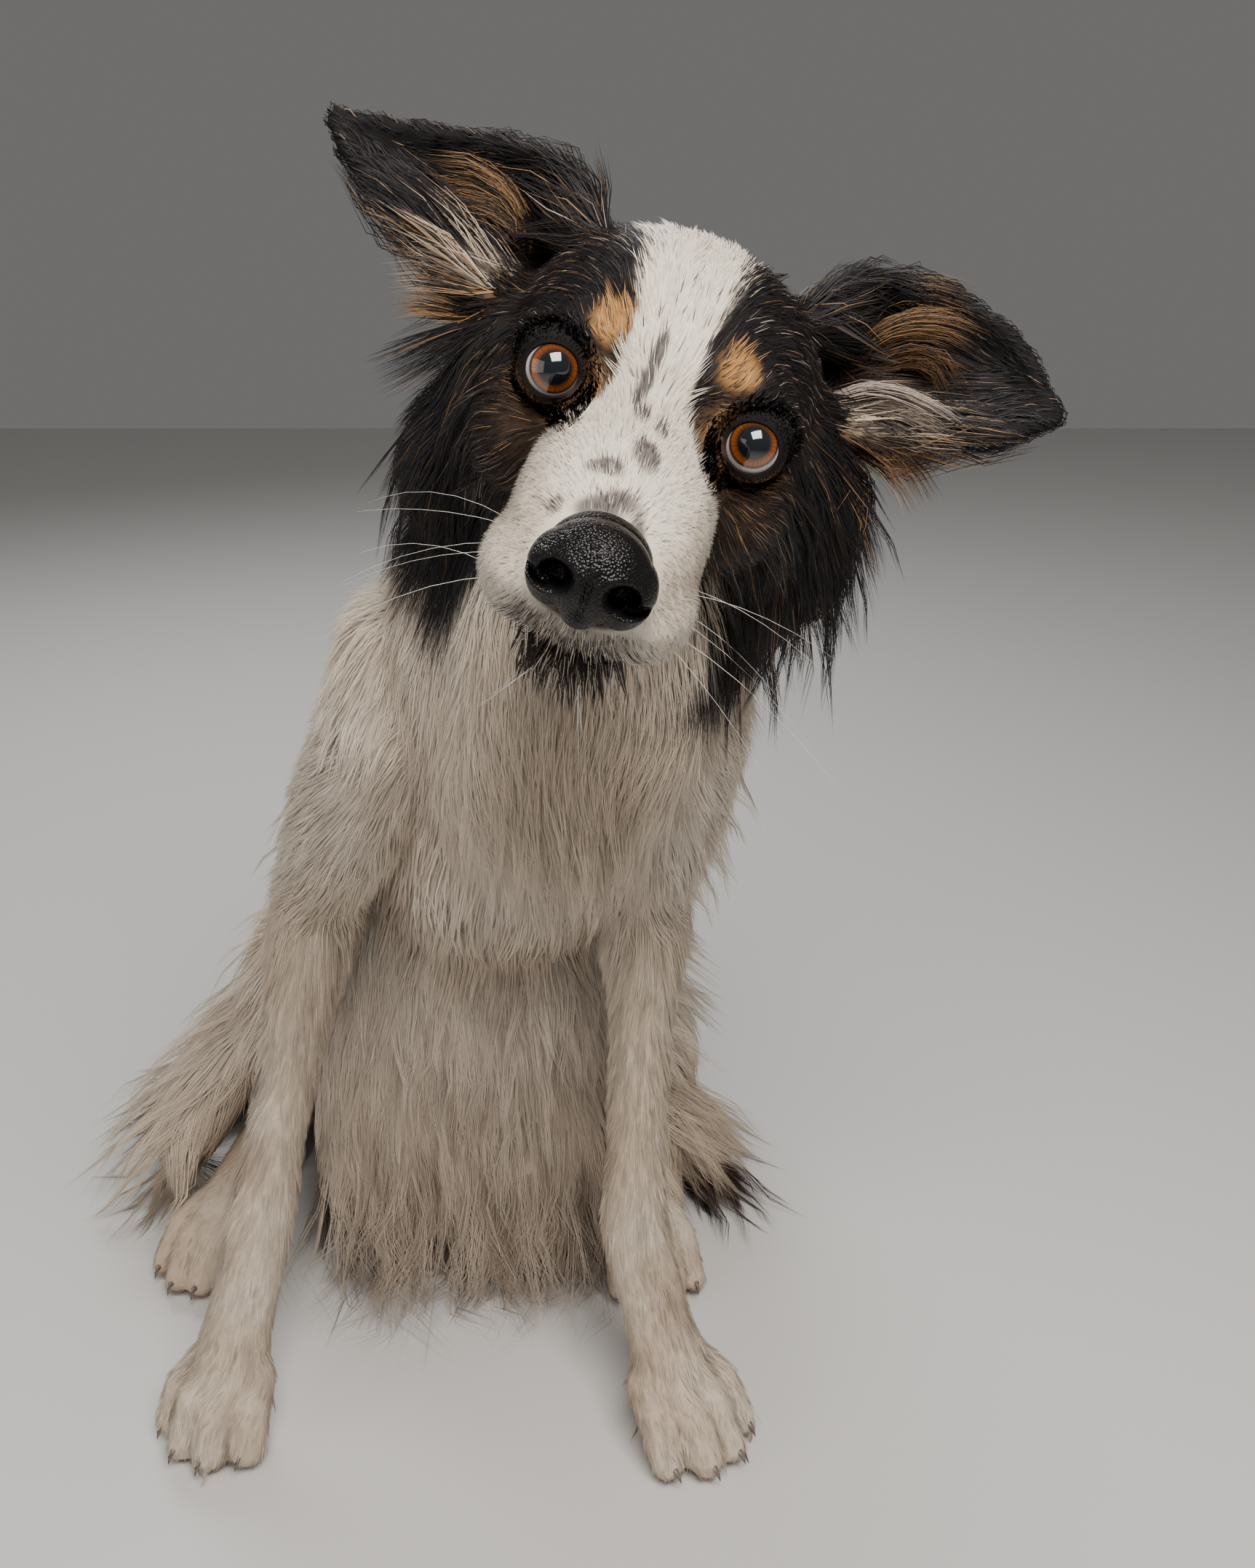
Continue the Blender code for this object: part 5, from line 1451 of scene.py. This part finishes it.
def whiskers():
    curves, radii = [], []

    def add(root, way, size, droop, radius, points=7):
        curves.append([root + way * size * t + droop * size * t * t for t in np.linspace(0, 1, points)])
        radii.append(radius)

    for g in (1, -1):
        for f, u in ((50, -38), (62, -37), (56, -44), (68, -43), (60, -50), (69, -50)):
            wide = float(np.interp(f, (45, 60, 75), (28, 28, 22)))
            way = LEFT * g * 0.85 + FRONT * RNG.uniform(-0.1, 0.35) + UP * RNG.uniform(-0.35, 0.25)
            droop = lift(-RNG.uniform(0.25, 0.5)) - FRONT * 0.2
            size = RNG.uniform(0.034, 0.072)
            add(head(g * wide, f, u), way.normalized(), size, droop, RNG.uniform(0.00005, 0.00008))
        for f, u in ((74, -70), (66, -73), (58, -72)):
            add(head(g * 7, f, u), (-UP * 0.8 + LEFT * g * RNG.uniform(0.2, 0.7) + FRONT * 0.2).normalized(),
                RNG.uniform(0.016, 0.028), -FRONT * 0.3, 0.00009, 5)
    return curves, radii


tapered("whiskers", *whiskers(), principled("whisker", (0.80, 0.78, 0.74), 0.3), "white_coat")
claw_curves = []
for root, level in CLAWS:
    shape = ((-0.003, 0.0015), (0, 0.0014), (0.0026, -0.0002), (0.0046, -0.0034))
    claw_curves.append([root + level * ahead + lift(rise) for ahead, rise in shape])
claw_material = principled("claw", (0.16, 0.125, 0.105), 0.35)
add_bump(claw_material, 300, 0.2, 0.0003)
tapered("claws", claw_curves, [0.0020] * len(claw_curves), claw_material, "nose_leather")

# ------------------------------------------------------------------ floor, light and world
floor_mesh = bpy.data.meshes.new("floor")
floor_mesh.from_pydata([(-3, -3, 0), (3, -3, 0), (3, 3, 0), (-3, 3, 0)], [], [(0, 1, 2, 3)])
floor = bpy.data.objects.new("floor", floor_mesh)
scene.collection.objects.link(floor)
floor_mesh.materials.append(principled("floor", (0.62, 0.61, 0.60), 0.8))

world = bpy.data.worlds.new("studio")
scene.world = world
world.use_nodes = True
world.node_tree.nodes["Background"].inputs["Color"].default_value = (0.84, 0.82, 0.80, 1)
world.node_tree.nodes["Background"].inputs["Strength"].default_value = 0.19


def area(name, at, target, size, watts, colour=(1, 1, 1)):
    light = bpy.data.lights.new(name, "AREA")
    light.shape = "RECTANGLE"
    light.size, light.size_y = size
    light.energy = watts
    light.color = colour
    obj = bpy.data.objects.new(name, light)
    scene.collection.objects.link(obj)
    obj.location = at
    obj.rotation_euler = (Vector(target) - Vector(at)).to_track_quat("-Z", "Y").to_euler()


area("key", (0.30, -0.85, 1.32), (0.07, -0.10, 0.42), (0.75, 0.6), 27, (1, 0.955, 0.90))
area("fill", (-1.3, -1.0, 0.7), (0, 0, 0.3), (1.2, 1.2), 6, (1, 0.97, 0.94))
area("rim", (-0.5, 1.2, 1.4), (0, 0.1, 0.4), (0.8, 0.5), 14)
